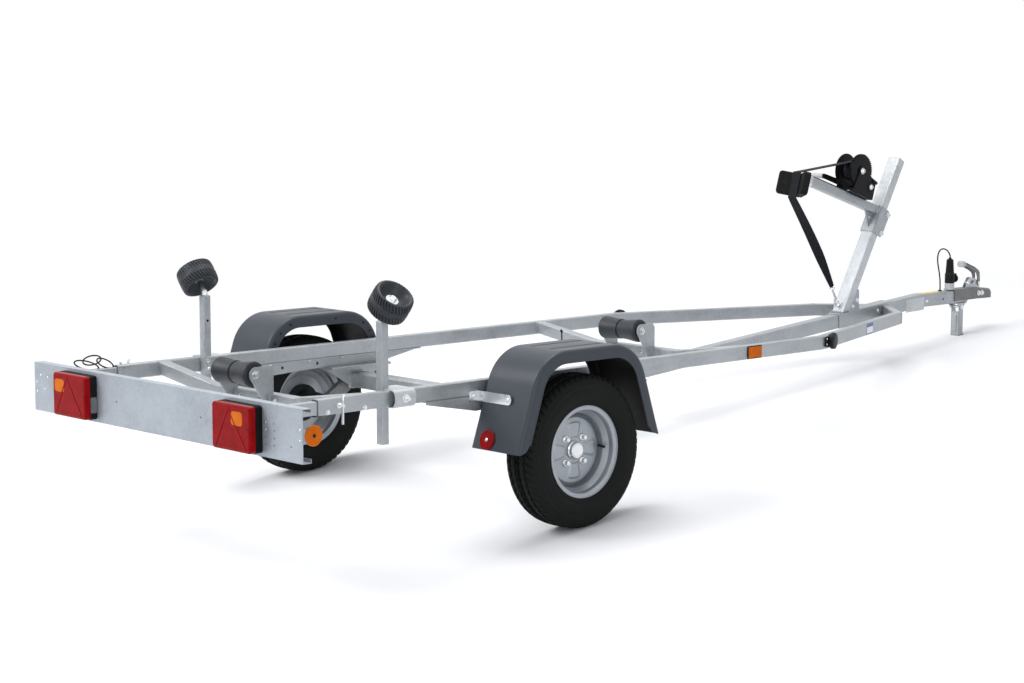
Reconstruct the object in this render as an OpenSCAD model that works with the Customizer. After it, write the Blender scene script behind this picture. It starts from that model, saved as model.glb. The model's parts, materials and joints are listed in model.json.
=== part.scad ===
// Small single-axle boat trailer with keel rollers, bilge rollers, a winch post and a clip-on light board.
// Every piece is laid out with the side rails level, the wheel axis above x = 0 and the wheels' contact
// at z = 0; parked() then tips the whole trailer nose-down onto its prop leg.

/* [Side rails] */
// Height of the rails' top above the ground under the wheels, rails level
rail_top = 587; // [570:1:620]
// Distance between the centre lines of the two rails
rail_gap = 1296; // [1240:2:1360]
// Height of the rail tube
rail_h = 60; // [54:1:66]
// Width of the rail tube
rail_w = 40; // [36:1:46]
// Wall of the rail tube
rail_wall = 3; // [2:0.5:4]
// Rear end of the rails behind the wheel axis
rail_rear = 1100; // [1000:5:1150]
// Place of the first bend ahead of the wheel axis
bend_x = 1766; // [1700:2:1850]
// Place of the second bend ahead of the wheel axis
corner_x = 2830; // [2760:5:2880]
// Distance of the second bend's outer corner from the centre line
corner_y = 283; // [240:1:320]

/* [Cross-members] */
// Rear face of the rear cross-member, behind the wheel axis
rear_member_x = 905; // [850:1:950]
// Rear face of the front cross-member, ahead of the wheel axis
front_member_x = 1222; // [1150:1:1260]
// Length of a cross-member's section along the trailer
member_l = 50; // [40:1:60]
// Height of a cross-member's section
member_h = 54; // [48:1:60]
// Drop of the level middle below the ends
member_drop = 55; // [40:1:70]
// Half length of the level middle
member_flat = 258; // [200:1:320]

/* [Drawbar] */
// Height of the drawbar's top at the coupling
bar_top = 622; // [600:1:650]
// Height of the drawbar's section
bar_h = 68; // [60:1:76]
// Width of the drawbar's section
bar_w = 60; // [50:1:70]
// Place of the drawbar's kink ahead of the wheel axis
kink_x = 3330; // [3280:5:3380]
// Fall of the drawbar behind its kink, for each unit of length
bar_fall = 0.085; // [0.075:0.001:0.095]
// Rear end of the drawbar ahead of the wheel axis
bar_rear = 1120; // [1100:5:1180]
// Rear end of the coupling ahead of the wheel axis
coupling_x = 3605; // [3580:1:3640]
// Length of the drawbar's end inside the coupling
bar_insert = 120; // [100:1:140]
// Thickness of the saddle's plate over the drawbar
saddle_t = 5; // [4:0.5:8]

/* [Coupling] */
// Distance from the coupling's rear end to the ball's centre
ball_reach = 300; // [270:1:320]
// Radius of the ball socket
socket_r = 25.2; // [25:0.1:26]
// Wall of the coupling's pressed body
coupling_t = 5; // [4:0.5:7]

/* [Prop leg] */
// Place of the leg's pin ahead of the coupling's rear end
leg_pin_reach = 67; // [60:1:80]
// Drop of the leg's pin below the drawbar
leg_pin_drop = 22; // [20:1:26]
// Length of the leg from its pin to the foot's underside
leg_l = 152; // [140:1:170]
// Width of the leg across the trailer
leg_w = 50; // [44:1:54]
// Depth of the leg's channel at the top
leg_d = 36; // [30:1:40]
// Radius of the leg's pin
leg_pin_r = 6; // [5:0.5:8]

/* [Wheels] */
// Outer radius of the tyre
tyre_r = 302; // [290:1:310]
// Width of the tyre at its widest
tyre_w = 164; // [150:1:170]
// Width of the tread
tread_w = 122; // [110:1:130]
// Distance from the rail's outer face to the wheel's middle plane
wheel_reach = 190; // [184:1:205]
// Radius of the rim's flange
rim_r = 181.5; // [178:0.5:184]
// Width of the rim over its flanges
rim_w = 134; // [124:1:140]
// Diameter of the circle that the wheel bolts stand on
bolt_circle = 130; // [112:1:140]

/* [Axle] */
// Place of the axle tube ahead of the wheel axis
axle_x = 160; // [140:1:180]
// Height of the axle tube's centre
axle_z = 412; // [400:1:425]
// Side of the square axle tube
axle_s = 70; // [60:1:80]
// Radius of the stub shaft that the hub turns on
stub_r = 17; // [15:0.5:20]

/* [Fenders] */
// Height of the fender's top
fender_top = 711; // [700:1:740]
// Height of the fender's lower edge
fender_low = 335; // [320:1:360]
// Half length of the fender at its lower edge
fender_half = 385; // [375:1:400]
// Lean of the fender's front and rear walls
fender_lean = 18.4; // [15:0.1:20]
// Radius between the walls and the top
fender_r = 180; // [150:1:190]
// Width of the fender
fender_w = 270; // [255:1:290]
// Thickness of the fender's moulding
fender_t = 4; // [3:0.5:5]
// Depth of the fender's outer lip
fender_lip = 50; // [40:1:55]

/* [Light board] */
// Rear face of the light board behind the wheel axis
board_x = 1334; // [1300:1:1360]
// Width of the light board
board_w = 1752; // [1600:2:1800]
// Height of the light board
board_h = 194; // [186:1:210]
// Height of the light board's middle
board_z = 503; // [495:1:510]
// Depth of the board's folded edges
board_fold = 40; // [30:1:50]
// Thickness of the board
board_t = 3; // [2:0.5:4]
// Width of a tail lamp
lamp_w = 230; // [200:1:250]
// Height of a tail lamp
lamp_h = 172; // [150:1:180]
// Depth of a tail lamp
lamp_d = 58; // [45:1:65]
// Distance from the centre line to a tail lamp's middle
lamp_y = 533; // [500:1:600]

/* [Keel rollers] */
// Radius of a keel roller
keel_r = 51; // [45:1:56]
// Depth of a keel roller's waist
keel_waist = 8; // [4:1:14]
// Length of a keel roller
keel_l = 216; // [190:1:230]
// Height of the keel rollers' axis
keel_z = 611; // [604:1:625]
// Gap between a keel roller and its cross-member
keel_gap = 13; // [11:1:25]
// Radius of a keel roller's pin
keel_pin_r = 8; // [6:0.5:10]

/* [Bilge rollers] */
// Place of the right post behind the wheel axis
right_post_x = 752; // [680:1:760]
// Place of the left post behind the wheel axis
left_post_x = 685; // [680:1:760]
// Side of the square post
post_s = 35; // [30:1:38]
// Height of the post's lower end
post_low = 380; // [360:1:420]
// Height of the post's top
post_top = 840; // [820:1:880]
// Radius of a bilge roller
bilge_r = 79; // [68:1:90]
// Length of a bilge roller
bilge_l = 94; // [78:1:100]
// Lean of a bilge roller's axis from level
bilge_lean = 50; // [40:1:60]
// Radius of a bilge roller's stem
stem_r = 9; // [8:0.5:11]

/* [Winch post] */
// Place of the post's rear foot ahead of the wheel axis
winch_x = 2676; // [2650:1:2700]
// Forward lean of the post
winch_lean = 30; // [27:0.5:33]
// Length of the post
winch_l = 870; // [840:5:900]
// Width of the post across the trailer
winch_w = 70; // [60:1:90]
// Depth of the post
winch_d = 50; // [36:1:60]
// Distance up the post to the arm's clamp
clamp_s = 455; // [430:1:480]
// Length of the arm's clamp along the post
clamp_l = 144; // [130:1:155]
// Rise of the arm towards its rear end
arm_rise = 17.3; // [15:0.1:20]
// Length of the arm
arm_l = 572; // [560:1:600]
// Side of the square arm
arm_s = 45; // [40:1:50]
// Radius of the winch's gear wheel
gear_r = 84; // [78:1:86]
// Radius of the strap's roll on the drum
roll_r = 50; // [42:1:56]
// Width of the strap
strap_w = 50; // [40:1:56]

/* [Hidden] */
$fn = 48;
fit = 0.3;                  // gap between pieces that lie side by side
slide = 0.05;               // radial clearance of a turning fit
rail_y = rail_gap / 2;
rail_in = rail_y - rail_w / 2;
rail_out = rail_y + rail_w / 2;
rail_low = rail_top - rail_h;
wheel_y = rail_out + wheel_reach;

// The foot and the wheels' contact give the pitch of the parked trailer.
leg_x = coupling_x + leg_pin_reach;
leg_z = bar_top - bar_h - leg_pin_drop;
foot_z = leg_z - leg_l;
pitch = asin(tyre_r / norm([leg_x, foot_z - tyre_r])) + atan2(foot_z - tyre_r, leg_x);
// The lamps' lower rear edge and the coupling's nose are the ends of the parked trailer.
nose_x = coupling_x + ball_reach + 42;
nose_z = bar_top - 30;
front_x = nose_x * cos(pitch) + (nose_z - tyre_r) * sin(pitch);
back_x = -(board_x + lamp_d) * cos(pitch) + (board_z - lamp_h / 2 + 1 - tyre_r) * sin(pitch);
centre_x = (front_x + back_x) / 2;

module parked() {
    translate([-centre_x, 0, tyre_r]) rotate([0, pitch, 0]) translate([0, 0, -tyre_r]) children();
}

// One side's shape on its own side: side = 1 is left, side = -1 is right.
module on(side) {
    if (side > 0) children();
    else mirror([0, 1, 0]) children();
}

// A plate that stands in the trailer's length: outline in x and z, from y = a to y = b.
module upright(points, a, b) {
    translate([0, b, 0]) rotate([90, 0, 0]) linear_extrude(b - a) polygon(points);
}

// A box from its low corner to its high corner.
module block(low, high) {
    translate(low) cube(high - low);
}

// A round bar along y.
module bar_y(x, z, r, a, b) {
    translate([x, b, z]) rotate([90, 0, 0]) cylinder(h = b - a, r = r);
}

// ---- Side rails ----
slant = atan2(rail_out - corner_y, corner_x - bend_x);      // inward slant ahead of the first bend
saddle_y = bar_w / 2 + saddle_t;                            // outer face of the saddle on the drawbar
nose_turn = 48;                                             // inward slant ahead of the second bend
butt_x = corner_x + (corner_y - saddle_y - fit) / tan(nose_turn);
inner_bend_x = bend_x - rail_w * tan(slant / 2);
inner_corner = [corner_x - rail_w * sin((slant + nose_turn) / 2) / cos((nose_turn - slant) / 2),
    corner_y - rail_w * cos((slant + nose_turn) / 2) / cos((nose_turn - slant) / 2)];

module rail(side) {
    on(side) difference() {
        translate([0, 0, rail_low]) linear_extrude(rail_h) polygon([
            [-rail_rear, rail_out], [bend_x, rail_out], [corner_x, corner_y], [butt_x, saddle_y + fit],
            [butt_x - rail_w / sin(nose_turn), saddle_y + fit], inner_corner,
            [inner_bend_x, rail_in], [-rail_rear, rail_in]]);
        block([-rail_rear - 1, rail_in + rail_wall, rail_low + rail_wall],
            [bend_x - 60, rail_out - rail_wall, rail_top - rail_wall]);
    }
}

module rail_right() { color("lightslategray") parked() rail(-1); }
module rail_left() { color("lightslategray") parked() rail(1); }

// ---- Cross-members: a dropped middle between two sloping arms ----
module member(x) {
    translate([x, 0, 0]) rotate([90, 0, 90]) linear_extrude(member_l) polygon([
        [rail_in, rail_top], [member_flat, rail_top - member_drop], [-member_flat, rail_top - member_drop],
        [-rail_in, rail_top], [-rail_in, rail_top - member_h], [-member_flat, member_low],
        [member_flat, member_low], [rail_in, rail_top - member_h]]);
}
member_low = rail_top - member_drop - member_h;
member_top = rail_top - member_drop;

module rear_crossmember() { color("lightsteelblue") parked() member(-rear_member_x); }
module front_crossmember() { color("lightsteelblue") parked() member(front_member_x); }

// ---- Drawbar: one tube with a kink, hung below the front cross-member ----
function bar_z(x) = bar_top - max(0, kink_x - x) * bar_fall;
hang_x = front_member_x + member_l / 2;

module drawbar() {
    color("silver") parked() {
        upright([[bar_rear, bar_z(bar_rear)], [kink_x, bar_top], [coupling_x + bar_insert, bar_top],
            [coupling_x + bar_insert, bar_top - bar_h], [kink_x, bar_top - bar_h],
            [bar_rear, bar_z(bar_rear) - bar_h]], -bar_w / 2, bar_w / 2);
        // spacer block up to the cross-member
        upright([[hang_x - member_l / 2, bar_z(hang_x - member_l / 2)],
            [hang_x - member_l / 2, member_low], [hang_x + member_l / 2, member_low],
            [hang_x + member_l / 2, bar_z(hang_x + member_l / 2)]], -bar_w / 2, bar_w / 2);
    }
}

// ---- Saddle: a folded plate over the drawbar that joins the rails and carries the winch post ----
saddle_rear = 2655;
saddle_front = 3075;

module drawbar_saddle() {
    color("lightsteelblue") parked() difference() {
        upright([[saddle_rear, bar_z(saddle_rear) + saddle_t], [saddle_front, bar_z(saddle_front) + saddle_t],
            [saddle_front, bar_z(saddle_front) - bar_h], [saddle_rear, bar_z(saddle_rear) - bar_h]],
            -saddle_y, saddle_y);
        upright([[saddle_rear - 10, bar_z(saddle_rear - 10)], [saddle_front + 10, bar_z(saddle_front + 10)],
            [saddle_front + 10, bar_z(saddle_front) - bar_h - 10], [saddle_rear - 10, bar_z(saddle_rear) - bar_h - 10]],
            -bar_w / 2, bar_w / 2);
    }
}

// ---- Axle: a square tube on two long brackets, with a trailing arm at each end ----
bracket_t = 5;
flange_z = 481;

module axle_bracket() {
    // flat under the rail
    block([-585, rail_in, rail_low - bracket_t], [503, rail_out, rail_low]);
    // tapered web below the rail
    upright([[-585, rail_low - bracket_t], [503, rail_low - bracket_t], [axle_x + 150, flange_z],
        [-20, flange_z], [-337, rail_low - 59]], rail_out - bracket_t, rail_out);
    // flange that the axle tube hangs from
    difference() {
        upright([[-20, flange_z], [axle_x + 150, flange_z], [axle_x + 150, flange_z - 12],
            [axle_x + axle_s / 2 + 12, axle_z - axle_s / 2], [axle_x - axle_s / 2 - 12, axle_z - axle_s / 2],
            [-20, flange_z - 12]], rail_out - 60, rail_out);
        block([axle_x - axle_s / 2, rail_out - 70, axle_z - axle_s / 2 - 10],
            [axle_x + axle_s / 2, rail_out + 10, axle_z + axle_s / 2]);
    }
}

module axle_brackets() { color("lightsteelblue") parked() for (s = [-1, 1]) on(s) axle_bracket(); }

module axle_beam() {
    color("silver") parked() block([axle_x - axle_s / 2, -rail_out, axle_z - axle_s / 2],
        [axle_x + axle_s / 2, rail_out, axle_z + axle_s / 2]);
}

arm_y = rail_out + 38;       // middle plane of a trailing arm
arm_t = 30;                  // thickness of a trailing arm
hub_y = arm_y + arm_t / 2;   // inner face of the hub
hub_gap = 5;                 // running gap between the arm and the hub
disc_y = wheel_y + 4;        // outer face of the rim's disc
disc_t = 6;
stud_r = 6;                  // radius of a wheel bolt's shank

module trailing_arm() {
    // boss on the end of the axle tube
    bar_y(axle_x, axle_z, 34, rail_out, arm_y + arm_t / 2);
    // arm
    upright([[axle_x + 12, axle_z + 32], [axle_x + 20, axle_z - 30], [6, tyre_r - 36], [-22, tyre_r - 30],
        [-34, tyre_r + 6], [-14, tyre_r + 34]], arm_y - arm_t / 2, arm_y + arm_t / 2);
    // stub shaft
    bar_y(0, tyre_r, stub_r, arm_y, disc_y + 20);
}

module trailing_arms() { color("gray") parked() for (s = [-1, 1]) on(s) trailing_arm(); }

// ---- Wheels ----
// A body turned about the wheel axis, outline in radius and distance from the centre line.
module turned(side, points) {
    on(side) translate([0, 0, tyre_r]) rotate([-90, 0, 0]) rotate_extrude($fn = 96) polygon(points);
}

module hub(side) {
    bore = stub_r + slide;
    turned(side, [[bore, hub_y + hub_gap], [52, hub_y + hub_gap], [56, hub_y + 45], [56, disc_y - disc_t - 14],
        [82, disc_y - disc_t - 14], [82, disc_y - disc_t], [31, disc_y - disc_t], [31, disc_y + 22],
        [27, disc_y + 30], [10, disc_y + 34], [0, disc_y + 34], [0, disc_y + 26], [bore, disc_y + 26]]);
    on(side) for (a = [45 : 90 : 315])
        translate([0, 0, tyre_r]) rotate([0, a, 0]) translate([bolt_circle / 2, 0, 0]) {
            bar_y(0, 0, stud_r, disc_y - disc_t - 1, disc_y + 2);
            translate([0, disc_y + fit, 0]) rotate([-90, 0, 0]) cylinder(h = 16, r = 11, $fn = 6);
        }
}

module hub_right() { color("dimgray") parked() hub(-1); }
module hub_left() { color("dimgray") parked() hub(1); }

// Radii of the rim's steps, inwards from the flange.
seat_r = rim_r - 13.5;
wall_r = rim_r - 20;
well_r = rim_r - 31.5;
disc_r = rim_r - 60;

module rim(side) {
    hw = rim_w / 2;
    difference() {
        turned(side, [[rim_r, wheel_y + hw], [rim_r, wheel_y + hw - 5], [seat_r, wheel_y + hw - 14],
            [seat_r - 3, wheel_y + 34], [well_r, wheel_y + 20], [well_r, wheel_y - 16], [seat_r - 2, wheel_y - 34],
            [seat_r, wheel_y - hw + 14], [rim_r, wheel_y - hw + 5], [rim_r, wheel_y - hw], [rim_r - 5, wheel_y - hw],
            [wall_r, wheel_y - hw + 8], [wall_r - 1, wheel_y - 36], [well_r - 4, wheel_y - 18],
            [well_r - 4, disc_y - 26], [disc_r, disc_y - disc_t], [32, disc_y - disc_t], [32, disc_y], [disc_r, disc_y],
            [well_r - 4, disc_y - 18], [well_r - 4, wheel_y + 22], [wall_r - 1, wheel_y + 36],
            [wall_r, wheel_y + hw - 8], [rim_r - 5, wheel_y + hw]]);
        on(side) for (a = [45 : 90 : 315])
            translate([0, 0, tyre_r]) rotate([0, a, 0]) translate([bolt_circle / 2, 0, 0])
                bar_y(0, 0, stud_r + 0.5, disc_y - disc_t - 5, disc_y + 5);
    }
}

module rim_right() { color("gainsboro") parked() rim(-1); }
module rim_left() { color("gainsboro") parked() rim(1); }

module tyre(side) {
    hw = rim_w / 2;
    tw = tread_w / 2;
    sw = tyre_w / 2;
    bead = seat_r + fit;
    turned(side, [[bead, wheel_y + hw - 15], [rim_r + fit, wheel_y + hw - 6], [rim_r + fit, wheel_y + hw + 1],
        [rim_r + 18, wheel_y + sw - 5], [rim_r + 43, wheel_y + sw], [tyre_r - 52, wheel_y + sw - 1],
        [tyre_r - 28, wheel_y + sw - 6], [tyre_r - 12, wheel_y + tw + 6], [tyre_r - 5, wheel_y + tw - 3],
        [tyre_r, wheel_y + tw - 30], [tyre_r, wheel_y - tw + 30], [tyre_r - 5, wheel_y - tw + 3],
        [tyre_r - 12, wheel_y - tw - 6], [tyre_r - 28, wheel_y - sw + 6], [tyre_r - 52, wheel_y - sw + 1],
        [rim_r + 43, wheel_y - sw], [rim_r + 18, wheel_y - sw + 5], [rim_r + fit, wheel_y - hw - 1],
        [rim_r + fit, wheel_y - hw + 6], [bead, wheel_y - hw + 15], [bead, wheel_y - 34], [bead, wheel_y + 34]]);
}

module tyre_right() { color([0.1, 0.1, 0.1]) parked() tyre(-1); }
module tyre_left() { color([0.1, 0.1, 0.1]) parked() tyre(1); }

// ---- Fenders ----
fender_in = rail_out + 22;             // inner side of the fender
fender_out = fender_in + fender_w;
arc_x = fender_half - (fender_top - fender_low) * tan(fender_lean) - fender_r * tan(45 - fender_lean / 2);
arc_z = fender_top - fender_r;

// The fender's outline, moved in by d, from the front foot over the top to the rear foot.
function fender_half_line(d) = concat(
    [[fender_half - d / cos(fender_lean), fender_low]],
    [for (a = [fender_lean : (90 - fender_lean) / 9 : 90.01])
        [arc_x + (fender_r - d) * cos(a), arc_z + (fender_r - d) * sin(a)]]);
function mirrored(points) = [for (i = [len(points) - 1 : -1 : 0]) [-points[i].x, points[i].y]];
function fender_line(d) = concat(fender_half_line(d), mirrored(fender_half_line(d)));
function reversed(points) = [for (i = [len(points) - 1 : -1 : 0]) points[i]];
function fender_band(a, b) = concat(fender_line(a), reversed(fender_line(b)));

module fender(side) {
    on(side) {
        upright(fender_band(0, fender_t), fender_in, fender_out);
        upright(fender_band(0, fender_lip), fender_out - fender_t, fender_out);
        upright(fender_band(0, fender_lip), fender_in, fender_in + fender_t);
    }
}

module fender_right() { color([0.2, 0.22, 0.24]) parked() fender(-1); }
module fender_left() { color([0.2, 0.22, 0.24]) parked() fender(1); }

// Stays: a tab on the rail and a flat bar across the fender's rear wall, and the same in front.
stay_z = 528;
stay_t = 5;
stay_h = 40;
stay_tab = 44;
stay_end = fender_in + 172;
function wall_x(z) = fender_half - (z - fender_low) * tan(fender_lean);

module fender_stay() {
    bar_x = wall_x(stay_z - stay_h / 2) + fit;
    block([bar_x, rail_out, stay_z - stay_h / 2], [bar_x + stay_tab, rail_out + stay_t, stay_z + stay_h / 2]);
    block([bar_x, rail_out, stay_z - stay_h / 2], [bar_x + stay_t, stay_end, stay_z + stay_h / 2]);
}

module fender_stays() {
    color("gainsboro") parked() for (s = [-1, 1]) on(s) {
        fender_stay();
        mirror([1, 0, 0]) fender_stay();
    }
}

// ---- Light board ----
board_low = board_z - board_h / 2;
board_high = board_z + board_h / 2;

module light_board() {
    color("lightsteelblue") parked() {
        upright([[-board_x, board_low], [-board_x + board_fold, board_low], [-board_x + board_fold, board_low + board_t],
            [-board_x + board_t, board_low + board_t], [-board_x + board_t, board_high - board_t],
            [-board_x + board_fold, board_high - board_t], [-board_x + board_fold, board_high],
            [-board_x, board_high]], -board_w / 2, board_w / 2);
        for (s = [-1, 1]) on(s)
            block([-board_x, board_w / 2 - board_t, board_z - 45], [-board_x + 90, board_w / 2, board_z + 45]);
    }
}

arm_in = 300;                                 // reach of the board's arm into the rail
arm_gap = 2;                                  // play of the board's arm in the rail
arm_w = rail_w - 2 * rail_wall - 2 * arm_gap;
arm_z0 = rail_low + rail_wall + fit;
arm_h = rail_h - 2 * rail_wall - 2 * arm_gap;

module board_arms() {
    color("silver") parked() for (s = [-1, 1]) on(s)
        block([-board_x + board_t, rail_y - arm_w / 2, arm_z0], [-rail_rear + arm_in, rail_y + arm_w / 2, arm_z0 + arm_h]);
}

screw_x = -rail_rear + 90;                    // clamp screw near the rail's rear end

module board_screws() {
    color("gainsboro") parked() for (s = [-1, 1]) on(s) {
        bar_y(screw_x, rail_top - 27, 6, rail_out, rail_out + 34);
        bar_y(screw_x, rail_top - 27, 12, rail_out, rail_out + 8);
        translate([screw_x, rail_out + 28, rail_top - 95]) cylinder(h = 108, r = 5);
    }
}

module lamp_housings() {
    color([0.08, 0.08, 0.08]) parked() for (s = [-1, 1]) on(s)
        block([-board_x - lamp_d + 26, lamp_y - lamp_w / 2, board_z - lamp_h / 2],
            [-board_x, lamp_y + lamp_w / 2, board_z + lamp_h / 2]);
}

module lamp_lenses() {
    color("firebrick") parked() for (s = [-1, 1]) on(s)
        block([-board_x - lamp_d, lamp_y - lamp_w / 2 + 1, board_z - lamp_h / 2 + 1],
            [-board_x - lamp_d + 26, lamp_y + lamp_w / 2 - 1, board_z + lamp_h / 2 - 1]);
}

module amber_reflectors() {
    color("darkorange") parked() for (s = [-1, 1]) on(s) {
        bar_y(-board_x + 47, board_z, 37, board_w / 2, board_w / 2 + 9);
        block([1240, rail_out, rail_top - 57], [1330, rail_out + 7, rail_top - 3]);
    }
}

reflector_z = fender_low + 37;          // height of the round reflectors on the fenders' rear walls

module red_reflectors() {
    color("red") parked() for (s = [-1, 1]) on(s)
        translate([-wall_x(reflector_z), fender_in + 86, reflector_z]) rotate([0, fender_lean - 90, 0]) cylinder(h = 9, r = 38);
}

module marker_lamps() {
    color([0.08, 0.08, 0.08]) parked() for (s = [-1, 1]) on(s)
        translate([bend_x + 52, rail_out - 52 * tan(slant), rail_top - 26]) rotate([-90, 0, -slant]) {
            cylinder(h = 30, r = 37);
            translate([-62, -26, 0]) cube([62, 52, 8]);
        }
}

// ---- Bilge rollers on posts clamped to the rails ----
post_y = rail_in - fit - post_s / 2;
bilge_y = rail_y + 12;
bilge_z = post_top + bilge_r - 5;

function post_at(side) = side > 0 ? -left_post_x : -right_post_x;

module roller_posts() {
    color("lightsteelblue") parked() for (s = [-1, 1]) on(s)
        block([post_at(s) - post_s / 2, post_y - post_s / 2, post_low],
            [post_at(s) + post_s / 2, post_y + post_s / 2, post_top]);
}

// A clamp is a bent plate that bulges around the rail's outer side and holds the post on the inner side.
clamp_t = 5;
clamp_half = 50;             // half length of the clamp along the rail
clamp_shift = 40;            // place of the clamp's middle ahead of the post
clamp_bulge = 30;            // reach of the clamp beyond the rail

// Half of the clamp's outline from the post's inner side over the rail to mid-height, moved in by d.
function clamp_line(d) = [[post_y - post_s / 2 - 10, rail_top + clamp_t - d], [rail_out + 8, rail_top + clamp_t - d],
    [rail_out + clamp_bulge - d, rail_top - 16], [rail_out + clamp_bulge - d, rail_low + 16],
    [rail_out + 8, rail_low - clamp_t + d], [post_y - post_s / 2 - 10, rail_low - clamp_t + d]];

module post_clamps() {
    color("gainsboro") parked() for (s = [-1, 1]) on(s) difference() {
        translate([post_at(s) + clamp_shift - clamp_half, 0, 0]) rotate([90, 0, 90])
            linear_extrude(2 * clamp_half) polygon(concat(clamp_line(0), reversed(clamp_line(clamp_t))));
        block([post_at(s) - post_s / 2 - fit, post_y - post_s / 2 - fit, rail_low - clamp_t - 1],
            [post_at(s) + post_s / 2 + fit, post_y + post_s / 2 + fit, rail_top + clamp_t + 1]);
    }
}

// A stem rises from the post's top and leans outboard along the roller's axis.
hub_half = 12;                                                          // half length of a roller's hub
stem_reach = (bilge_y - post_y) / cos(bilge_lean);                      // elbow to the roller's middle
elbow_z = bilge_z - stem_reach * sin(bilge_lean);

module on_bilge_axis(side) {
    translate([post_at(side), bilge_y, bilge_z]) rotate([bilge_lean - 90, 0, 0]) children();
}

module roller_stems() {
    color("silver") parked() for (s = [-1, 1]) on(s) {
        translate([post_at(s), post_y, post_top]) cylinder(h = elbow_z - post_top, r = stem_r);
        translate([post_at(s), post_y, elbow_z]) sphere(r = stem_r + 1);
        on_bilge_axis(s) {
            translate([0, 0, -stem_reach]) cylinder(h = stem_reach + hub_half + 16, r = stem_r);
            translate([0, 0, -hub_half - fit - 5]) cylinder(h = 5, r = 18);
            translate([0, 0, hub_half + fit]) cylinder(h = 4, r = 26);
        }
    }
}

module bilge_roller(side) {
    on(side) on_bilge_axis(side) rotate_extrude($fn = 72)
        polygon([[stem_r + slide, -hub_half], [32, -hub_half], [bilge_r - 18, -bilge_l / 2 + 6],
            [bilge_r - 12, -bilge_l / 2], [bilge_r - 3, -bilge_l / 2 + 9], [bilge_r, 0],
            [bilge_r - 3, bilge_l / 2 - 9], [bilge_r - 12, bilge_l / 2], [bilge_r - 18, bilge_l / 2 - 6],
            [32, hub_half], [stem_r + slide, hub_half]]);
}

module bilge_roller_right() { color([0.12, 0.12, 0.13]) parked() bilge_roller(-1); }
module bilge_roller_left() { color([0.12, 0.12, 0.13]) parked() bilge_roller(1); }

// ---- Keel rollers in brackets behind the cross-members ----
plate_t = 5;
nose_r = 30;                       // rounding of a side plate around the pin
nose_turn_in = 28;                 // where the lower edge of a side plate leaves the rounding
lap = 20;                          // reach of a side plate over the cross-member's top
keel_side = keel_l / 2 + 5;        // inner face of a bracket's side plate

keel_back = keel_r + keel_gap;     // distance of a roller's axis behind its cross-member

module keel_bracket(back) {
    axis_x = back - keel_back;
    // back plate against the cross-member
    block([back - plate_t, -keel_side - plate_t, member_low + 4], [back, keel_side + plate_t, member_top - 2]);
    for (s = [-1, 1]) on(s) {
        upright([[axis_x, keel_z + nose_r], [back + lap - 14, keel_z + nose_r], [back + lap, keel_z + nose_r - 16],
            [back + lap, member_top], [back, member_top], [back, member_low + 4], [back - 16, member_low + 4],
            [axis_x - nose_r * cos(nose_turn_in), keel_z - nose_r * sin(nose_turn_in)]],
            keel_side, keel_side + plate_t);
        bar_y(axis_x, keel_z, nose_r, keel_side, keel_side + plate_t);
    }
    // pin through both plates, with its bolt heads
    bar_y(axis_x, keel_z, keel_pin_r, -keel_side - plate_t - 6, keel_side + plate_t + 6);
    for (s = [-1, 1]) on(s) bar_y(axis_x, keel_z, 13, keel_side + plate_t, keel_side + plate_t + 9);
}

module keel_brackets() {
    color("lightsteelblue") parked() {
        keel_bracket(-rear_member_x);
        keel_bracket(front_member_x);
    }
}

module keel_roller(x) {
    translate([x, 0, keel_z]) rotate([90, 0, 0]) rotate_extrude($fn = 72) polygon([
        [keel_pin_r + slide, -keel_l / 2], [keel_r - 4, -keel_l / 2], [keel_r, -keel_l / 2 + 6],
        [keel_r - keel_waist, -6], [keel_r - keel_waist - 4, 0], [keel_r - keel_waist, 6],
        [keel_r, keel_l / 2 - 6], [keel_r - 4, keel_l / 2], [keel_pin_r + slide, keel_l / 2]]);
}

module keel_roller_rear() { color([0.12, 0.12, 0.13]) parked() keel_roller(-rear_member_x - keel_back); }
module keel_roller_front() { color([0.12, 0.12, 0.13]) parked() keel_roller(front_member_x - keel_back); }

// ---- Winch post ----
foot_top = bar_z(winch_x) + saddle_t;

// Frame of the post: x forward across its depth, z up along it, origin at its rear foot.
module on_post() {
    translate([winch_x, 0, foot_top]) rotate([0, winch_lean, 0]) children();
}

gusset_x = 2808;             // front end of the foot and its gussets

module winch_post() {
    color("gainsboro") parked() difference() {
        union() {
            on_post() block([0, -winch_w / 2, -60], [winch_d, winch_w / 2, winch_l]);
            for (s = [-1, 1]) on(s) upright([[winch_x + 30, foot_top - 10], [gusset_x, foot_top],
                [gusset_x, foot_top + 112], [winch_x + 60, foot_top + 60]], winch_w / 2 - 5, winch_w / 2);
            upright([[winch_x, foot_top - 30], [gusset_x, foot_top - 30], [gusset_x, bar_z(gusset_x) + saddle_t + 8],
                [winch_x, foot_top + 8]], -winch_w / 2, winch_w / 2);
        }
        upright([[2500, bar_z(2500) + saddle_t], [3000, bar_z(3000) + saddle_t], [3000, 300], [2500, 300]],
            -winch_w, winch_w);
    }
}

// Frame of the arm: origin on the arm's top line above its rear end, x forward and down along the arm.
arm_s0 = clamp_s + clamp_l;   // the arm's top line meets the clamp's upper edge
arm_root = [winch_x + arm_s0 * sin(winch_lean), foot_top + arm_s0 * cos(winch_lean)];
arm_tip = [arm_root.x - arm_l * cos(arm_rise), arm_root.y + arm_l * sin(arm_rise)];

// A point given along and above the arm, as x and z.
function arm_point(along, above) = [arm_tip.x + along * cos(arm_rise) + above * sin(arm_rise),
    arm_tip.y - along * sin(arm_rise) + above * cos(arm_rise)];

module on_arm() {
    translate([arm_tip.x, 0, arm_tip.y]) rotate([0, arm_rise, 0]) children();
}

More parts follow.
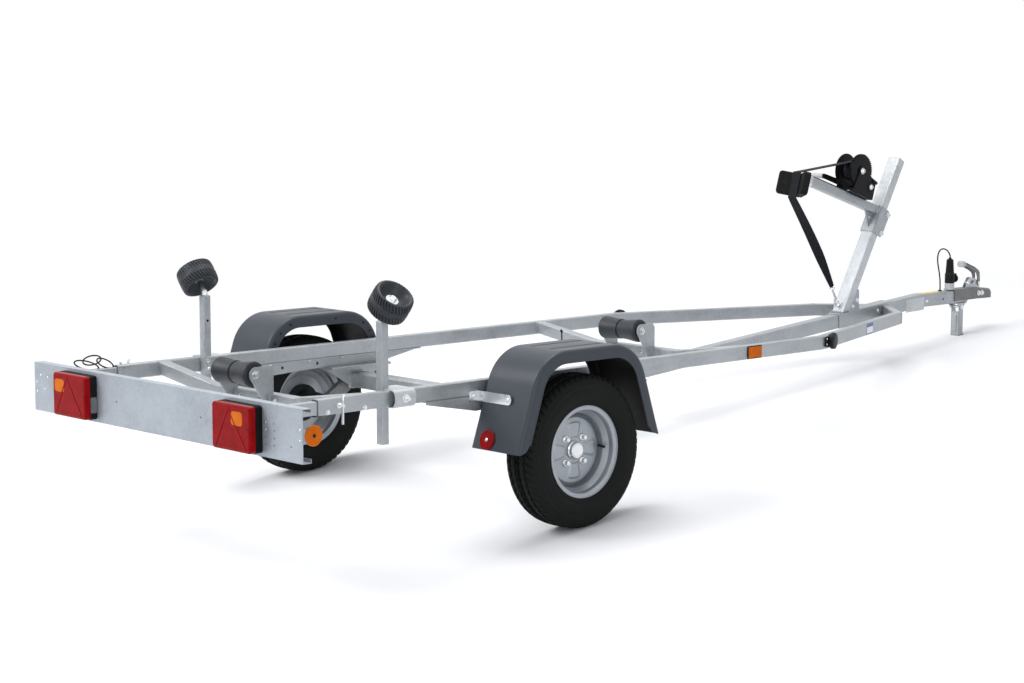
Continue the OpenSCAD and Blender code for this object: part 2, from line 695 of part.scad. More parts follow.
module winch_arm() {
    color("lightsteelblue") parked() {
        difference() {
            union() {
                // clamp: a channel around the post
                on_post() block([-5, -winch_w / 2 - 5, clamp_s], [winch_d + 24, winch_w / 2 + 5, clamp_s + clamp_l]);
                on_arm() block([0, -arm_s / 2, -arm_s], [arm_l + 20, arm_s / 2, 0]);
                upright([[arm_root.x - 75, arm_root.y - 30], [arm_root.x + 10, arm_root.y - 30],
                    [arm_root.x - 50, arm_root.y - 124]], -3, 3);
            }
            on_post() block([-fit, -winch_w / 2 - fit, clamp_s - 20], [winch_d + 40, winch_w / 2 + fit, clamp_s + clamp_l + 60]);
        }
        // clamp bolts ahead of the post
        on_post() for (z = [clamp_s + 20, clamp_s + clamp_l - 20])
            bar_y(winch_d + 12, z, 6, -winch_w / 2 - 16, winch_w / 2 + 16);
    }
}

// ---- Bow stop: two rubber pads in a V at the arm's end ----
pad_turn = 38;
pad_t = 36;                  // thickness of a pad
pad_l = 128;                 // length of a pad
pad_top = -6;                // top of the pads above the arm's top
pad_low = -118;
pad_gap = 4;                 // gap between the arm's end and the pads

module bow_stop() {
    color([0.08, 0.08, 0.08]) parked() on_arm() {
        for (s = [-1, 1]) on(s) translate([-pad_gap, 0, 0]) rotate([0, 0, pad_turn])
            block([-pad_t, 0, pad_low], [0, pad_l, pad_top]);
        block([-fit - 8, -34, pad_low + 18], [-fit, 34, pad_top - 14]);
    }
}

// ---- Winch: frame, gear and drum, crank ----
drum_s = 341;                // drum's axis along the arm
drum_h = 116;                // drum's axis above the arm
pinion_s = drum_s + gear_r + 3;
pinion_h = 58;
frame_y = 57;                // outer face of the frame's right plate
frame_t = 4;

module frame_plate(y) {
    on_arm() difference() {
        union() {
            bar_y(drum_s, drum_h, 24, y, y + frame_t);
            upright([[drum_s - 44, 0], [pinion_s + 34, 0], [pinion_s + 34, pinion_h + 36],
                [drum_s + 8, drum_h + 22], [drum_s - 21, drum_h + 10]], y, y + frame_t);
        }
        bar_y(drum_s, drum_h, 10 + slide, y - 1, y + frame_t + 1);
        bar_y(pinion_s, pinion_h, 9 + slide, y - 1, y + frame_t + 1);
    }
}

module winch_frame() {
    color([0.07, 0.07, 0.07]) parked() {
        frame_plate(-frame_y);
        frame_plate(frame_y - frame_t);
        on_arm() {
            block([drum_s - 44, -frame_y, 0], [pinion_s + 34, frame_y, 4]);
            block([24, -16, 0], [drum_s, 16, 4]);
        }
    }
}

module winch_drum() {
    color([0.12, 0.12, 0.12]) parked() on_arm() {
        bar_y(drum_s, drum_h, 10, -frame_y - 10, frame_y + 10);
        bar_y(drum_s, drum_h, 26, -frame_y + frame_t + 3, frame_y - frame_t - 3);
        bar_y(drum_s, drum_h, gear_r, -frame_y + frame_t + 3, -frame_y + frame_t + 12);
        bar_y(drum_s, drum_h, gear_r, frame_y - frame_t - 7, frame_y - frame_t - 3);
    }
}

crank_y = frame_y + 22;
crank_l = 205;
crank_turn = 196;

module winch_crank() {
    color([0.1, 0.1, 0.1]) parked() on_arm() {
        bar_y(pinion_s, pinion_h, 9, -frame_y - 8, crank_y + 14);
        bar_y(pinion_s, pinion_h, 20, -frame_y + frame_t + 3, -frame_y + frame_t + 12);
        translate([pinion_s, 0, pinion_h]) rotate([0, crank_turn - 17, 0]) {
            block([0, crank_y, -11], [crank_l, crank_y + 6, 11]);
            bar_y(crank_l - 4, 0, 13, crank_y + 6, crank_y + 116);
        }
    }
}

// ---- Strap: off the drum, over the bow stop and down to the hook ----
strap_th = 3;
lip_s = -pad_gap - pad_t / cos(pad_turn) - strap_w / 2 * tan(pad_turn) - fit;   // strap in the pads' V
lip_top = pad_top + fit;     // underside of the strap above the pads
lip_low = pad_low - 14;      // lower end of the strap's run behind the pads

// A band of the strap in the arm's frame: points along its outer side.
module band(points) {
    upright(points, -strap_w / 2, strap_w / 2);
}

eye_r = 14;                                           // middle radius of the eye's ring
eye_wire = 4.5;
eye_z = foot_top + 44;
eye_x = winch_x + (eye_z - foot_top) * tan(winch_lean) - eye_r - eye_wire - 3;
hook_top = [eye_x - 42, eye_z + 90];

// The strap leaves the roll along the line from the pads' top that just touches it.
lip_to_roll = [drum_s - lip_s, drum_h - lip_top - strap_th];
run_up = atan2(lip_to_roll.y, lip_to_roll.x) + asin((roll_r - fit) / norm(lip_to_roll));
function on_roll(r) = [drum_s - r * sin(run_up), drum_h + r * cos(run_up)];

// The strap's run from the pads to the hook, as one band with a twist at its lower end.
run_top = arm_point(lip_s - fit - strap_th / 2, lip_low);

module strap_run() {
    hull() {
        translate([run_top.x, 0, run_top.y]) rotate([0, arm_rise, 0])
            cube([strap_th + 2 * fit, strap_w + 2 * fit, 4], center = true);
        translate([hook_top.x, 0, hook_top.y]) rotate([0, 20, 60])
            cube([strap_th, 26, 2], center = true);
    }
}

module winch_strap() {
    color([0.15, 0.16, 0.18]) parked() {
        on_arm() difference() {
            bar_y(drum_s, drum_h, roll_r, -strap_w / 2, strap_w / 2);
            bar_y(drum_s, drum_h, 26 + fit, -strap_w, strap_w);
        }
        on_arm() band([on_roll(roll_r - fit), on_roll(roll_r - fit - strap_th), [lip_s, lip_top],
            [lip_s - fit, lip_low], [lip_s - fit - strap_th, lip_low], [lip_s - fit - strap_th, lip_top + strap_th]]);
        strap_run();
    }
}

module strap_hook() {
    color("silver") parked() {
        // eye bolted to the post
        translate([eye_x, 0, eye_z]) rotate([90, 0, 0]) rotate_extrude($fn = 32)
            translate([eye_r, 0]) circle(r = eye_wire, $fn = 16);
        on_post() translate([-3, 0, (eye_z - foot_top) / cos(winch_lean) - 2]) rotate([0, 90, 0])
            cylinder(h = 3, r = 8);
        // hook: a flat shank that ends around the eye's ring
        hull() {
            translate([hook_top.x, 0, hook_top.y - 4.5]) cube([16, 30, 5], center = true);
            translate([eye_x - 18, 0, eye_z + 34]) cube([12, 12, 5], center = true);
        }
        hull() {
            translate([eye_x - 18, 0, eye_z + 34]) cube([12, 12, 5], center = true);
            translate([eye_x - eye_r, 0, eye_z + 5]) cube([8, 14, 6], center = true);
        }
    }
}

// ---- Coupling ----
ball_x = coupling_x + ball_reach;
ball_z = bar_top - 46;
head_r = socket_r + 15.8;
coupling_y = bar_w / 2 + fit + coupling_t;
coupling_low = bar_top - 56;

module coupling_head() {
    color("darkgray") parked() difference() {
        union() {
            block([coupling_x, -coupling_y, coupling_low], [ball_x - 36, coupling_y, bar_top + fit + coupling_t]);
            block([ball_x - 60, -coupling_y, coupling_low], [ball_x, coupling_y, bar_top - 6]);
            translate([ball_x, 0, coupling_low]) cylinder(h = 44, r = head_r);
            translate([ball_x, 0, coupling_low + 44 - 30]) sphere(r = head_r, $fn = 64);
            // lug for the handle
            upright([[pin_x - 110, bar_top], [pin_x + 14, bar_top], [pin_x + 14, pin_z + 6], [pin_x, pin_z + 14],
                [pin_x - 40, pin_z + 32], [pin_x - 70, pin_z + 34], [pin_x - 98, pin_z]], -lug_t, lug_t);
        }
        // the drawbar's end
        block([coupling_x - 1, -bar_w / 2 - fit, coupling_low - 1], [coupling_x + bar_insert + fit, bar_w / 2 + fit, bar_top + fit]);
        // open underside ahead of the drawbar
        block([coupling_x + bar_insert - 1, -bar_w / 2 - fit, coupling_low - 1], [ball_x - 50, bar_w / 2 + fit, bar_top - 14]);
        block([ball_x - 100, -head_r - 20, coupling_low - 60], [ball_x + 60, head_r + 20, coupling_low]);
        bar_y(pin_x, pin_z, pin_r + slide, -lug_t - 1, lug_t + 1);
        translate([ball_x, 0, coupling_low - 1]) cylinder(h = ball_z - coupling_low + 1, r = socket_r);
        translate([ball_x, 0, ball_z]) sphere(r = socket_r, $fn = 64);
    }
}

pin_x = ball_x - 66;
pin_z = bar_top + 24;
pin_r = 5;
lug_t = 12;

module handle_cheek() {
    upright([[pin_x - 11, pin_z], [pin_x + 11, pin_z], [pin_x + 8, pin_z + 50], [pin_x - 36, pin_z + 98],
        [pin_x - 124, pin_z + 118], [pin_x - 124, pin_z + 96], [pin_x - 46, pin_z + 76], [pin_x - 14, pin_z + 42]],
        lug_t + 1, lug_t + 5);
    bar_y(pin_x, pin_z, 11, lug_t + 1, lug_t + 5);
}

module coupling_handle() {
    color("dimgray") parked() {
        for (s = [-1, 1]) on(s) handle_cheek();
        bar_y(pin_x, pin_z, pin_r, -lug_t - 8, lug_t + 8);
        block([pin_x - 146, -24, pin_z + 90], [pin_x - 120, 24, pin_z + 124]);
    }
}

// ---- Prop leg under the coupling ----
ear_in = leg_w / 2 + 1;
ear_out = ear_in + 5;

module leg_bracket() {
    color("gray") parked() {
        block([leg_x - 40, -ear_out, bar_top - bar_h - 5], [leg_x + 46, ear_out, bar_top - bar_h]);
        for (s = [-1, 1]) on(s) difference() {
            union() {
                bar_y(leg_x, leg_z, boss_r, ear_in, ear_out);
                upright([[leg_x - 28, bar_top - bar_h - 4], [leg_x + 28, bar_top - bar_h - 4], [leg_x + 12, leg_z - 4],
                    [leg_x - 12, leg_z - 4]], ear_in, ear_out);
            }
        }
        bar_y(leg_x, leg_z, leg_pin_r, -ear_out - 8, ear_out + 8);
    }
}

// Below the ground plane of the parked trailer, at the foot.
module under_foot() {
    translate([leg_x, 0, foot_z]) rotate([0, -pitch, 0]) block([-90, -90, -90], [90, 90, 0]);
}

boss_r = 13;                      // rounding of the leg and its ears around the pin

module prop_leg() {
    wall = 4;
    back = leg_x - boss_r;
    front = back + leg_d;
    color("silver") parked() difference() {
        union() {
            upright([[back, leg_z - 24], [leg_x - boss_r, leg_z], [leg_x + boss_r, leg_z], [front, leg_z - 20],
                [front, foot_z + 16], [front + 8, foot_z + 6], [front + 8, foot_z - 20], [back, foot_z - 20]],
                -leg_w / 2, leg_w / 2);
            bar_y(leg_x, leg_z, boss_r, -leg_w / 2, leg_w / 2);
        }
        upright([[back + wall, leg_z - 24], [back - 1, leg_z - 24], [back - 1, leg_z + 20], [front + 20, leg_z + 20],
            [front + 20, foot_z + 7], [back + wall, foot_z + 4]], -leg_w / 2 + wall, leg_w / 2 - wall);
        bar_y(leg_x, leg_z, leg_pin_r + slide, -leg_w, leg_w);
        under_foot();
    }
}

// ---- Plug, parked in its holder, and its cable ----
plug_x = 3598;
plug_y = -12;

module plug_holder() {
    color("lightgray") parked() translate([plug_x, plug_y, bar_top]) {
        translate([-22 - 10, -22, fit + coupling_t]) cube([44, 44, 3]);
        difference() {
            translate([-10, 0, fit + coupling_t]) cylinder(h = 34, r = 25);
            translate([-10, 0, fit + coupling_t + 5]) cylinder(h = 40, r = 22);
        }
    }
}

module plug() {
    color([0.07, 0.07, 0.07]) parked() translate([plug_x - 10, plug_y, bar_top]) {
        translate([0, 0, 12]) cylinder(h = 30, r = 21.5);
        translate([0, 0, 42]) cylinder(h = 46, r = 26);
        translate([0, 0, 88]) cylinder(h = 74, r1 = 23, r2 = 18);
        translate([0, 0, 162]) cylinder(h = 10, r = 8);
        translate([22, 0, 62]) rotate([0, 90, 0]) cylinder(h = 26, r = 22);
    }
}

// Points of the cable, from the plug's top over a loop to the drawbar.
cable_r = 3.5;
cable_route = [[3588, -12, 794], [3588, -12, 802], [3586, -10, 812], [3581, -7, 822], [3573, -4, 831], [3562, 0, 838],
    [3550, 3, 841], [3538, 6, 840], [3526, 8, 834], [3517, 8, 825], [3511, 8, 813], [3508, 8, 799], [3508, 8, 783],
    [3511, 8, 765], [3516, 8, 746], [3522, 8, 726], [3527, 8, 706], [3531, 8, 686], [3533, 8, 666], [3534, 8, 646],
    [3534, 8, 630], [3534, 8, 622]];

function unit(v) = v / norm(v);
function cable_dir(i) = unit(cable_route[min(i + 1, len(cable_route) - 1)] - cable_route[max(i - 1, 0)]);
function ring(i) = let (d = cable_dir(i), u = unit(cross(d, [0, 1, 0])), v = cross(d, u))
    [for (k = [0 : 7]) cable_route[i] + cable_r * (cos(k * 45) * u + sin(k * 45) * v)];

module plug_cable() {
    n = len(cable_route);
    color([0.06, 0.06, 0.06]) parked() polyhedron(
        points = [for (i = [0 : n - 1]) each ring(i)],
        faces = concat([[for (k = [7 : -1 : 0]) k]],
            [for (i = [0 : n - 2]) for (k = [0 : 7])
                [i * 8 + k, i * 8 + (k + 1) % 8, (i + 1) * 8 + (k + 1) % 8, (i + 1) * 8 + k]],
            [[for (k = [0 : 7]) (n - 1) * 8 + k]]));
}

rail_right();
rail_left();
rear_crossmember();
front_crossmember();
drawbar();
drawbar_saddle();
axle_beam();
axle_brackets();
trailing_arms();
hub_right();
hub_left();
rim_right();
rim_left();
tyre_right();
tyre_left();
fender_right();
fender_left();
fender_stays();
light_board();
board_arms();
board_screws();
lamp_housings();
lamp_lenses();
amber_reflectors();
red_reflectors();
marker_lamps();
roller_posts();
post_clamps();
roller_stems();
bilge_roller_right();
bilge_roller_left();
keel_brackets();
keel_roller_rear();
keel_roller_front();
winch_post();
winch_arm();
bow_stop();
winch_frame();
winch_drum();
winch_crank();
winch_strap();
strap_hook();
coupling_head();
coupling_handle();
leg_bracket();
prop_leg();
plug_holder();
plug();
plug_cable();
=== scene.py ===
import json
from math import atan2, cos, hypot, pi, radians, sin, sqrt, tan
from random import Random

import bmesh
import bpy
from mathutils import Matrix, Vector


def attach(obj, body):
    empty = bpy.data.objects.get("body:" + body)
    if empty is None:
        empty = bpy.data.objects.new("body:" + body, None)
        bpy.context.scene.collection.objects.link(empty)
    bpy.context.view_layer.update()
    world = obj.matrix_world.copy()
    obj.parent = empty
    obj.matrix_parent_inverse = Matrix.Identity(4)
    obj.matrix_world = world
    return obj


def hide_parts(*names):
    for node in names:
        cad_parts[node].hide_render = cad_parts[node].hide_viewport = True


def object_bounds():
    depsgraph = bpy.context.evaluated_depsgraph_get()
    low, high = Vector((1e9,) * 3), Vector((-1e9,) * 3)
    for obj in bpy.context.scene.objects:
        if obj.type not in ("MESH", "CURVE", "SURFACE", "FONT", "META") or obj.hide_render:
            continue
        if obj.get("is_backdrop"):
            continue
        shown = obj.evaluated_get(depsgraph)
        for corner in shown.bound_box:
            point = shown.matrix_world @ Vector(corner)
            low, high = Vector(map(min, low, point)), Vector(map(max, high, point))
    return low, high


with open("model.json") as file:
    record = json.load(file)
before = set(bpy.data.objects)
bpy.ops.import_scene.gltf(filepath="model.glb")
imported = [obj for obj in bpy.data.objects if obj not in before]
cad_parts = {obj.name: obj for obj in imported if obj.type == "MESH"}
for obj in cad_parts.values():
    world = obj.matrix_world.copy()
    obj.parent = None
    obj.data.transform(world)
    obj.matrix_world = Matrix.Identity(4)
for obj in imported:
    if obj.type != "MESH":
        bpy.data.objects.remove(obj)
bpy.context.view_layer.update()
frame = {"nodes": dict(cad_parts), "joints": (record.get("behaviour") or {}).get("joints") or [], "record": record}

# The trailer is drawn with its rails level, in millimetres: x forward from the wheel axis, y left,
# z up from the wheels' contact. PARKED tips it nose-down onto its prop leg, in the frame's metres.

MM = 0.001
JOINTS = {joint["name"]: joint for joint in frame["joints"]}
MOUNTS = {mount["name"]: mount for mount in frame["record"]["mounts"]}
BALL_AXIS = MOUNTS["ball_socket"]["axis"]
WHEEL_AT = JOINTS["wheel_right_spin"]["pos_m"]
TIP = atan2(-BALL_AXIS[0], -BALL_AXIS[2])
PARKED = (Matrix.Translation((WHEEL_AT[0], 0, WHEEL_AT[2])) @ Matrix.Rotation(TIP, 4, "Y")
          @ Matrix.Translation((0, 0, -WHEEL_AT[2])) @ Matrix.Scale(MM, 4))
LEVEL = PARKED.inverted()
SIDES = (("right", -1), ("left", 1))


def level_box(node, side=0):
    """Low and high corners of a CAD node in the level frame, or of its half on one side."""
    points = [LEVEL @ v.co for v in frame["nodes"][node].data.vertices]
    points = [p for p in points if p.y * side >= 0]
    return (Vector([min(p[i] for p in points) for i in range(3)]),
            Vector([max(p[i] for p in points) for i in range(3)]))


def on(side):
    """Mirrors a shape that is drawn on the left to its own side."""
    return Matrix.Scale(side, 4, (0, 1, 0))


def shift(x, y, z):
    """Moves a shape."""
    return Matrix.Translation((x, y, z))


def show(name, data):
    """Puts new data into the scene as an object."""
    obj = bpy.data.objects.new(name, data)
    bpy.context.scene.collection.objects.link(obj)
    return obj


def aim(at, direction, turn=0.0):
    """Puts a shape's origin at a point and its z axis along a direction."""
    return (Matrix.Translation(at) @ Vector(direction).to_track_quat("Z", "Y").to_matrix().to_4x4()
            @ Matrix.Rotation(turn, 4, "Z"))


# ---- Solids ----
def loft(rings, caps="face", looped=False):
    """Joins rings of points into one closed skin."""
    bm = bmesh.new()
    rows = [[bm.verts.new(p) for p in ring] for ring in rings]
    n = len(rows[0])
    for i in range(len(rows) if looped else len(rows) - 1):
        a, b = rows[i], rows[(i + 1) % len(rows)]
        for k in range(n):
            bm.faces.new((a[k], a[(k + 1) % n], b[(k + 1) % n], b[k]))
    for row in () if looped else (rows[0], rows[-1]):
        if caps == "face":
            bm.faces.new(row)
        else:
            for k in range(n // 2 - 1):
                bm.faces.new((row[k], row[k + 1], row[n - 2 - k], row[n - 1 - k]))
    bmesh.ops.remove_doubles(bm, verts=bm.verts, dist=0.001)
    bmesh.ops.recalc_face_normals(bm, faces=bm.faces)
    return bm


PLANES = {"XZ": lambda u, v, w: (u, w, v), "XY": lambda u, v, w: (u, v, w), "YZ": lambda u, v, w: (w, u, v)}


def prism(outline, a, b, plane="XZ", holes=()):
    """A plate with its outline in a plane, from a to b across it, with holes right through."""
    place = PLANES[plane]
    if not holes:
        return loft([[place(u, v, w) for u, v in outline] for w in (a, b)])
    flat = bmesh.new()
    edges = []
    for line in (outline, *holes):
        verts = [flat.verts.new((u, v, 0)) for u, v in line]
        edges += [flat.edges.new((verts[i - 1], verts[i])) for i in range(len(verts))]
    bmesh.ops.triangle_fill(flat, use_beauty=True, edges=edges)
    flat.verts.index_update()
    bm = bmesh.new()
    ends = [[bm.verts.new(place(v.co.x, v.co.y, w)) for v in flat.verts] for w in (a, b)]
    for end in ends:
        for face in flat.faces:
            bm.faces.new([end[v.index] for v in face.verts])
    for edge in edges:
        i, k = (v.index for v in edge.verts)
        bm.faces.new((ends[0][i], ends[0][k], ends[1][k], ends[1][i]))
    flat.free()
    bmesh.ops.recalc_face_normals(bm, faces=bm.faces)
    return bm


def box(low, high):
    """A block between its low and its high corner."""
    return prism([(low[0], low[1]), (high[0], low[1]), (high[0], high[1]), (low[0], high[1])],
                 low[2], high[2], "XY")


def circle(x, y, r, n=20, start=0.0, sweep=2 * pi):
    """Points round a circle, or along an arc of it when the sweep is less than a turn."""
    last = n if sweep > 6.28 else n - 1
    return [(x + r * cos(start + sweep * i / last), y + r * sin(start + sweep * i / last)) for i in range(n)]


def rounded(w, h, r, n=4, x=0.0, y=0.0):
    """A rectangle with round corners about a middle."""
    points = []
    for i, (sx, sy) in enumerate(((1, 1), (-1, 1), (-1, -1), (1, -1))):
        points += circle(x + sx * (w / 2 - r), y + sy * (h / 2 - r), r, n, i * pi / 2, pi / 2)
    return points


def bar(plane, stations, u=0.0, v=0.0, n=4):
    """A bar of round-cornered sections; a station is its place, width, height and corner radius."""
    place = PLANES[plane]
    return loft([[place(p, q, at) for p, q in rounded(w, h, r, n, u, v)] for at, w, h, r in stations])


def hexagon(levels, turn=0.0):
    """A six-sided head through its radii and heights."""
    return loft([[(*p, h) for p in circle(0, 0, r, 6, turn)] for r, h in levels])


def lathe(profile, steps=48):
    """A profile turned about z: points of radius, height and own twist, or a function of the angle."""
    rings = []
    for i in range(steps):
        angle = 2 * pi * i / steps
        line = profile(angle) if callable(profile) else profile
        line = [(r, h, angle + sum(twist)) for r, h, *twist in line]
        rings.append([(r * cos(a), r * sin(a), h) for r, h, a in line])
    return loft(rings, looped=True)


def tube(points, radius, sides=10):
    """A round bar along a line of points; radius is one number or one for each point."""
    points = [Vector(p) for p in points]
    across = None
    rings = []
    for i, p in enumerate(points):
        along = (points[min(i + 1, len(points) - 1)] - points[max(i - 1, 0)]).normalized()
        across = across or along.orthogonal()
        across = (across - along * across.dot(along)).normalized()
        up = along.cross(across)
        r = radius[i] if isinstance(radius, (list, tuple)) else radius
        rings.append([p + r * (c * across + s * up) for c, s in circle(0, 0, 1, sides)])
    return loft(rings)


def ribbon(points, across, half, thickness):
    """A flat band along points; across gives the direction of its width at each point."""
    points = [Vector(p) for p in points]
    rings = []
    for i, p in enumerate(points):
        along = (points[min(i + 1, len(points) - 1)] - points[max(i - 1, 0)]).normalized()
        wide = Vector(across[i]).normalized() * half[i]
        thick = along.cross(wide).normalized() * thickness / 2
        front = [(1, 1), (0.5, 1.15), (-0.5, 1.15), (-1, 1)]
        rings.append([p + wide * u + thick * v for u, v in front + [(u, -v) for u, v in reversed(front)]])
    return loft(rings)


def rod(start, end, r, sides=24, chamfer=1.0):
    """A round bar between two points, with its edges broken."""
    start, end = Vector(start), Vector(end)
    h = (end - start).length
    bm = lathe([(0, 0), (r - chamfer, 0), (r, chamfer), (r, h - chamfer), (r - chamfer, h), (0, h)], sides)
    bm.transform(aim(start, end - start))
    return bm


def soften(bm, width, steps=2, limit=30):
    """Rounds every edge sharper than the limit."""
    edges = [e for e in bm.edges if len(e.link_faces) == 2 and e.calc_face_angle() > radians(limit)]
    bmesh.ops.bevel(bm, geom=edges, offset=width, segments=steps, profile=0.5, affect="EDGES",
                    clamp_overlap=True)


class Piece:
    """One object of the scene, gathered solid by solid in the level frame."""

    def __init__(self):
        self.mesh = bmesh.new()
        self.materials = []

    def add(self, solid, material, bevel=0.0, at=Matrix(), steps=2, limit=30):
        """Takes a solid in, with its edges softened and its faces in one material."""
        if bevel:
            soften(solid, bevel, steps, limit)
        solid.transform(at)
        if at.determinant() < 0:
            bmesh.ops.reverse_faces(solid, faces=solid.faces)
        if material not in self.materials:
            self.materials.append(material)
        for face in solid.faces:
            face.material_index = self.materials.index(material)
        data = bpy.data.meshes.new("solid")
        solid.to_mesh(data)
        solid.free()
        self.mesh.from_mesh(data)
        bpy.data.meshes.remove(data)

    def pair(self, solid, material, bevel=0.0, at=Matrix(), **softening):
        """Adds a solid that is drawn on the left, and its mirror image on the right."""
        for side in (-1, 1):
            self.add(solid.copy(), material, bevel, on(side) @ at, **softening)
        solid.free()

    def bolt(self, at, direction, size=10.0, material=None, washer=True, side=1, shank=0.0):
        """A hexagon head with its washer, and the shank's end standing past it on a nut."""
        head, r = size * 0.65, size / 2
        thick = size * 0.16 if washer else 0.0
        rim, edge = size * 1.2, size * 1.15
        flat = size * 0.92
        parts = [hexagon([(flat, thick), (flat, thick + head * 0.78), (flat * 0.84, thick + head)])]
        if washer:
            section = [(0, 0), (edge, 0), (rim, thick * 0.3), (rim, thick * 0.8), (edge, thick), (0, thick)]
            parts.append(lathe(section, 24))
        if shank:
            threads = [(r - 0.3 * (i % 2), thick + head + shank * i / 8) for i in range(9)]
            parts.append(lathe([(0, thick), *threads, (0, thick + head + shank)], 16))
        for part in parts:
            self.add(part, material or BRIGHT, at=on(side) @ aim(at, direction, 0.4))

    def bolts(self, spots, direction, size, shank=0.0, left_shank=0.0):
        """Bolts drawn on the left, and their mirror images; left_shank shows on the left alone."""
        for side in (-1, 1):
            for spot in spots:
                self.bolt(spot, direction, size, side=side, shank=shank or (left_shank if side > 0 else 0.0))

    def finish(self, name, nodes, slot, body="chassis", sharp=32):
        """Turns the gathered solids into an object on its body, and hides the CAD parts that it stands in for."""
        bm = self.mesh
        bm.transform(PARKED)
        for edge in bm.edges:
            edge.smooth = len(edge.link_faces) == 2 and edge.calc_face_angle() < radians(sharp)
        for face in bm.faces:
            face.smooth = True
        data = bpy.data.meshes.new(name)
        bm.to_mesh(data)
        bm.free()
        for material in self.materials:
            data.materials.append(material)
        obj = show(name, data)
        weighted = obj.modifiers.new("flat faces stay flat", "WEIGHTED_NORMAL")
        weighted.keep_sharp = True
        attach(obj, body)
        if nodes:
            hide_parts(*nodes)
        return obj


# ---- Materials ----
class Graph:
    """The node tree of a material or a world."""

    def __init__(self, owner):
        owner.use_nodes = True
        self.nodes = owner.node_tree.nodes
        self.links = owner.node_tree.links

    def node(self, kind, settings=(), **inputs):
        """Adds a node; an input is named, or given by its place as _0, _1 and so on."""
        node = self.nodes.new("ShaderNode" + kind)
        for key, value in dict(settings).items():
            setattr(node, key, value)
        for key, value in inputs.items():
            key = int(key[1:]) if key[0] == "_" else key.replace("_", " ")
            if isinstance(value, bpy.types.NodeSocket):
                self.links.new(value, node.inputs[key])
            else:
                node.inputs[key].default_value = value
        return node

    def math(self, operation, *values):
        inputs = {f"_{i}": value for i, value in enumerate(values)}
        return self.node("Math", {"operation": operation}, **inputs).outputs[0]


class Look(Graph):
    """A procedural material on the object's own coordinates."""

    def __init__(self, name, roughness=0.5, metallic=0.0, **inputs):
        self.material = bpy.data.materials.new(name)
        super().__init__(self.material)
        self.shader = self.nodes["Principled BSDF"]
        for key, value in dict(inputs, Roughness=roughness, Metallic=metallic).items():
            self.shader.inputs[key.replace("_", " ")].default_value = value
        self.place = self.nodes.new("ShaderNodeTexCoord").outputs["Object"]

    def stretched(self, scale):
        return self.node("Mapping", Vector=self.place, Scale=scale).outputs["Vector"]

    def noise(self, scale, detail, stretch=(1, 1, 1)):
        return self.node("TexNoise", Vector=self.stretched(stretch), Scale=scale, Detail=detail,
                         Roughness=0.55).outputs[0]

    def cells(self, scale):
        return self.node("TexVoronoi", Vector=self.place, Scale=scale).outputs["Color"]

    def wave(self, scale, direction, stretch=(1, 1, 1)):
        return self.node("TexWave", {"bands_direction": direction}, Vector=self.stretched(stretch),
                         Scale=scale).outputs["Color"]

    def sum(self, *terms):
        """Adds values by their weights: value, weight, value, weight..."""
        total = 0.0
        for value, weight in zip(terms[::2], terms[1::2]):
            total = self.math("MULTIPLY_ADD", value, weight, total)
        return total

    def ramp(self, value, *stops):
        node = self.node("ValToRGB", Fac=value)
        line = node.color_ramp.elements
        while len(line) < len(stops):
            line.new(0.5)
        for element, (position, colour) in zip(line, stops):
            element.position = position
            element.color = (*colour, 1) if not isinstance(colour, float) else (colour,) * 3 + (1,)
        return node.outputs["Color"]

    def set(self, **inputs):
        for key, value in inputs.items():
            self.links.new(value, self.shader.inputs[key.replace("_", " ")])

    def bump(self, height, strength, distance=0.0004):
        bump = self.node("Bump", Height=height, Strength=strength, Distance=distance)
        self.set(Normal=bump.outputs["Normal"])


def shade(colour, k):
    """A colour made darker or lighter."""
    return tuple(min(1.0, c * k) for c in colour)


def galvanised(name, colour, rough=(0.30, 0.52), bright=0.62):
    """Hot-dip zinc: soft clouds, fine spangle, runs along the steel and duller patches."""
    look = Look(name, metallic=bright)
    clouds = look.noise(7, 4)
    fine = look.noise(90, 3)
    runs = look.noise(30, 3, (0.12, 1, 1))
    spangle = look.cells(120)
    mixed = look.sum(clouds, 0.5, fine, 0.14, runs, 0.2, spangle, 0.16)
    dull, shiny = shade(colour, 0.78), shade(colour, 1.14)
    look.set(Base_Color=look.ramp(mixed, (0.3, dull), (0.5, colour), (0.68, shiny)),
             Roughness=look.ramp(look.sum(clouds, 0.6, spangle, 0.4), (0.3, rough[0]), (0.75, rough[1])))
    look.bump(look.sum(fine, 0.6, clouds, 0.8), 0.10)
    return look.material


def painted(name, colour, rough=(0.3, 0.45), grain=220, depth=0.15, metallic=0.0, vary=0.12, clouds=9,
            **inputs):
    """A painted, cast or moulded skin with a fine grain and a slow change of tone."""
    look = Look(name, metallic=metallic, **inputs)
    slow = look.noise(clouds, 4)
    fine = look.noise(grain, 2)
    look.set(Base_Color=look.ramp(look.sum(slow, 0.75, fine, 0.25), (0.3, shade(colour, 1 - vary)),
                                  (0.7, shade(colour, 1 + vary))),
             Roughness=look.ramp(slow, (0.3, rough[0]), (0.7, rough[1])))
    look.bump(look.sum(fine, 1.0, slow, 0.3), depth)
    return look.material


def lens(name, colour, deep):
    """A clear moulded lens with rows of small prisms behind its smooth face."""
    look = Look(name, roughness=0.18, Specular_IOR_Level=0.1)
    rows = look.wave(95, "Z")
    columns = look.wave(95, "Y")
    cloud = look.noise(26, 3)
    woven_in = look.sum(rows, 0.25, columns, 0.25, cloud, 0.5)
    look.set(Base_Color=look.ramp(woven_in, (0.2, deep), (0.75, colour)))
    look.bump(look.sum(rows, 0.5, columns, 0.5), 0.35, 0.0006)
    return look.material


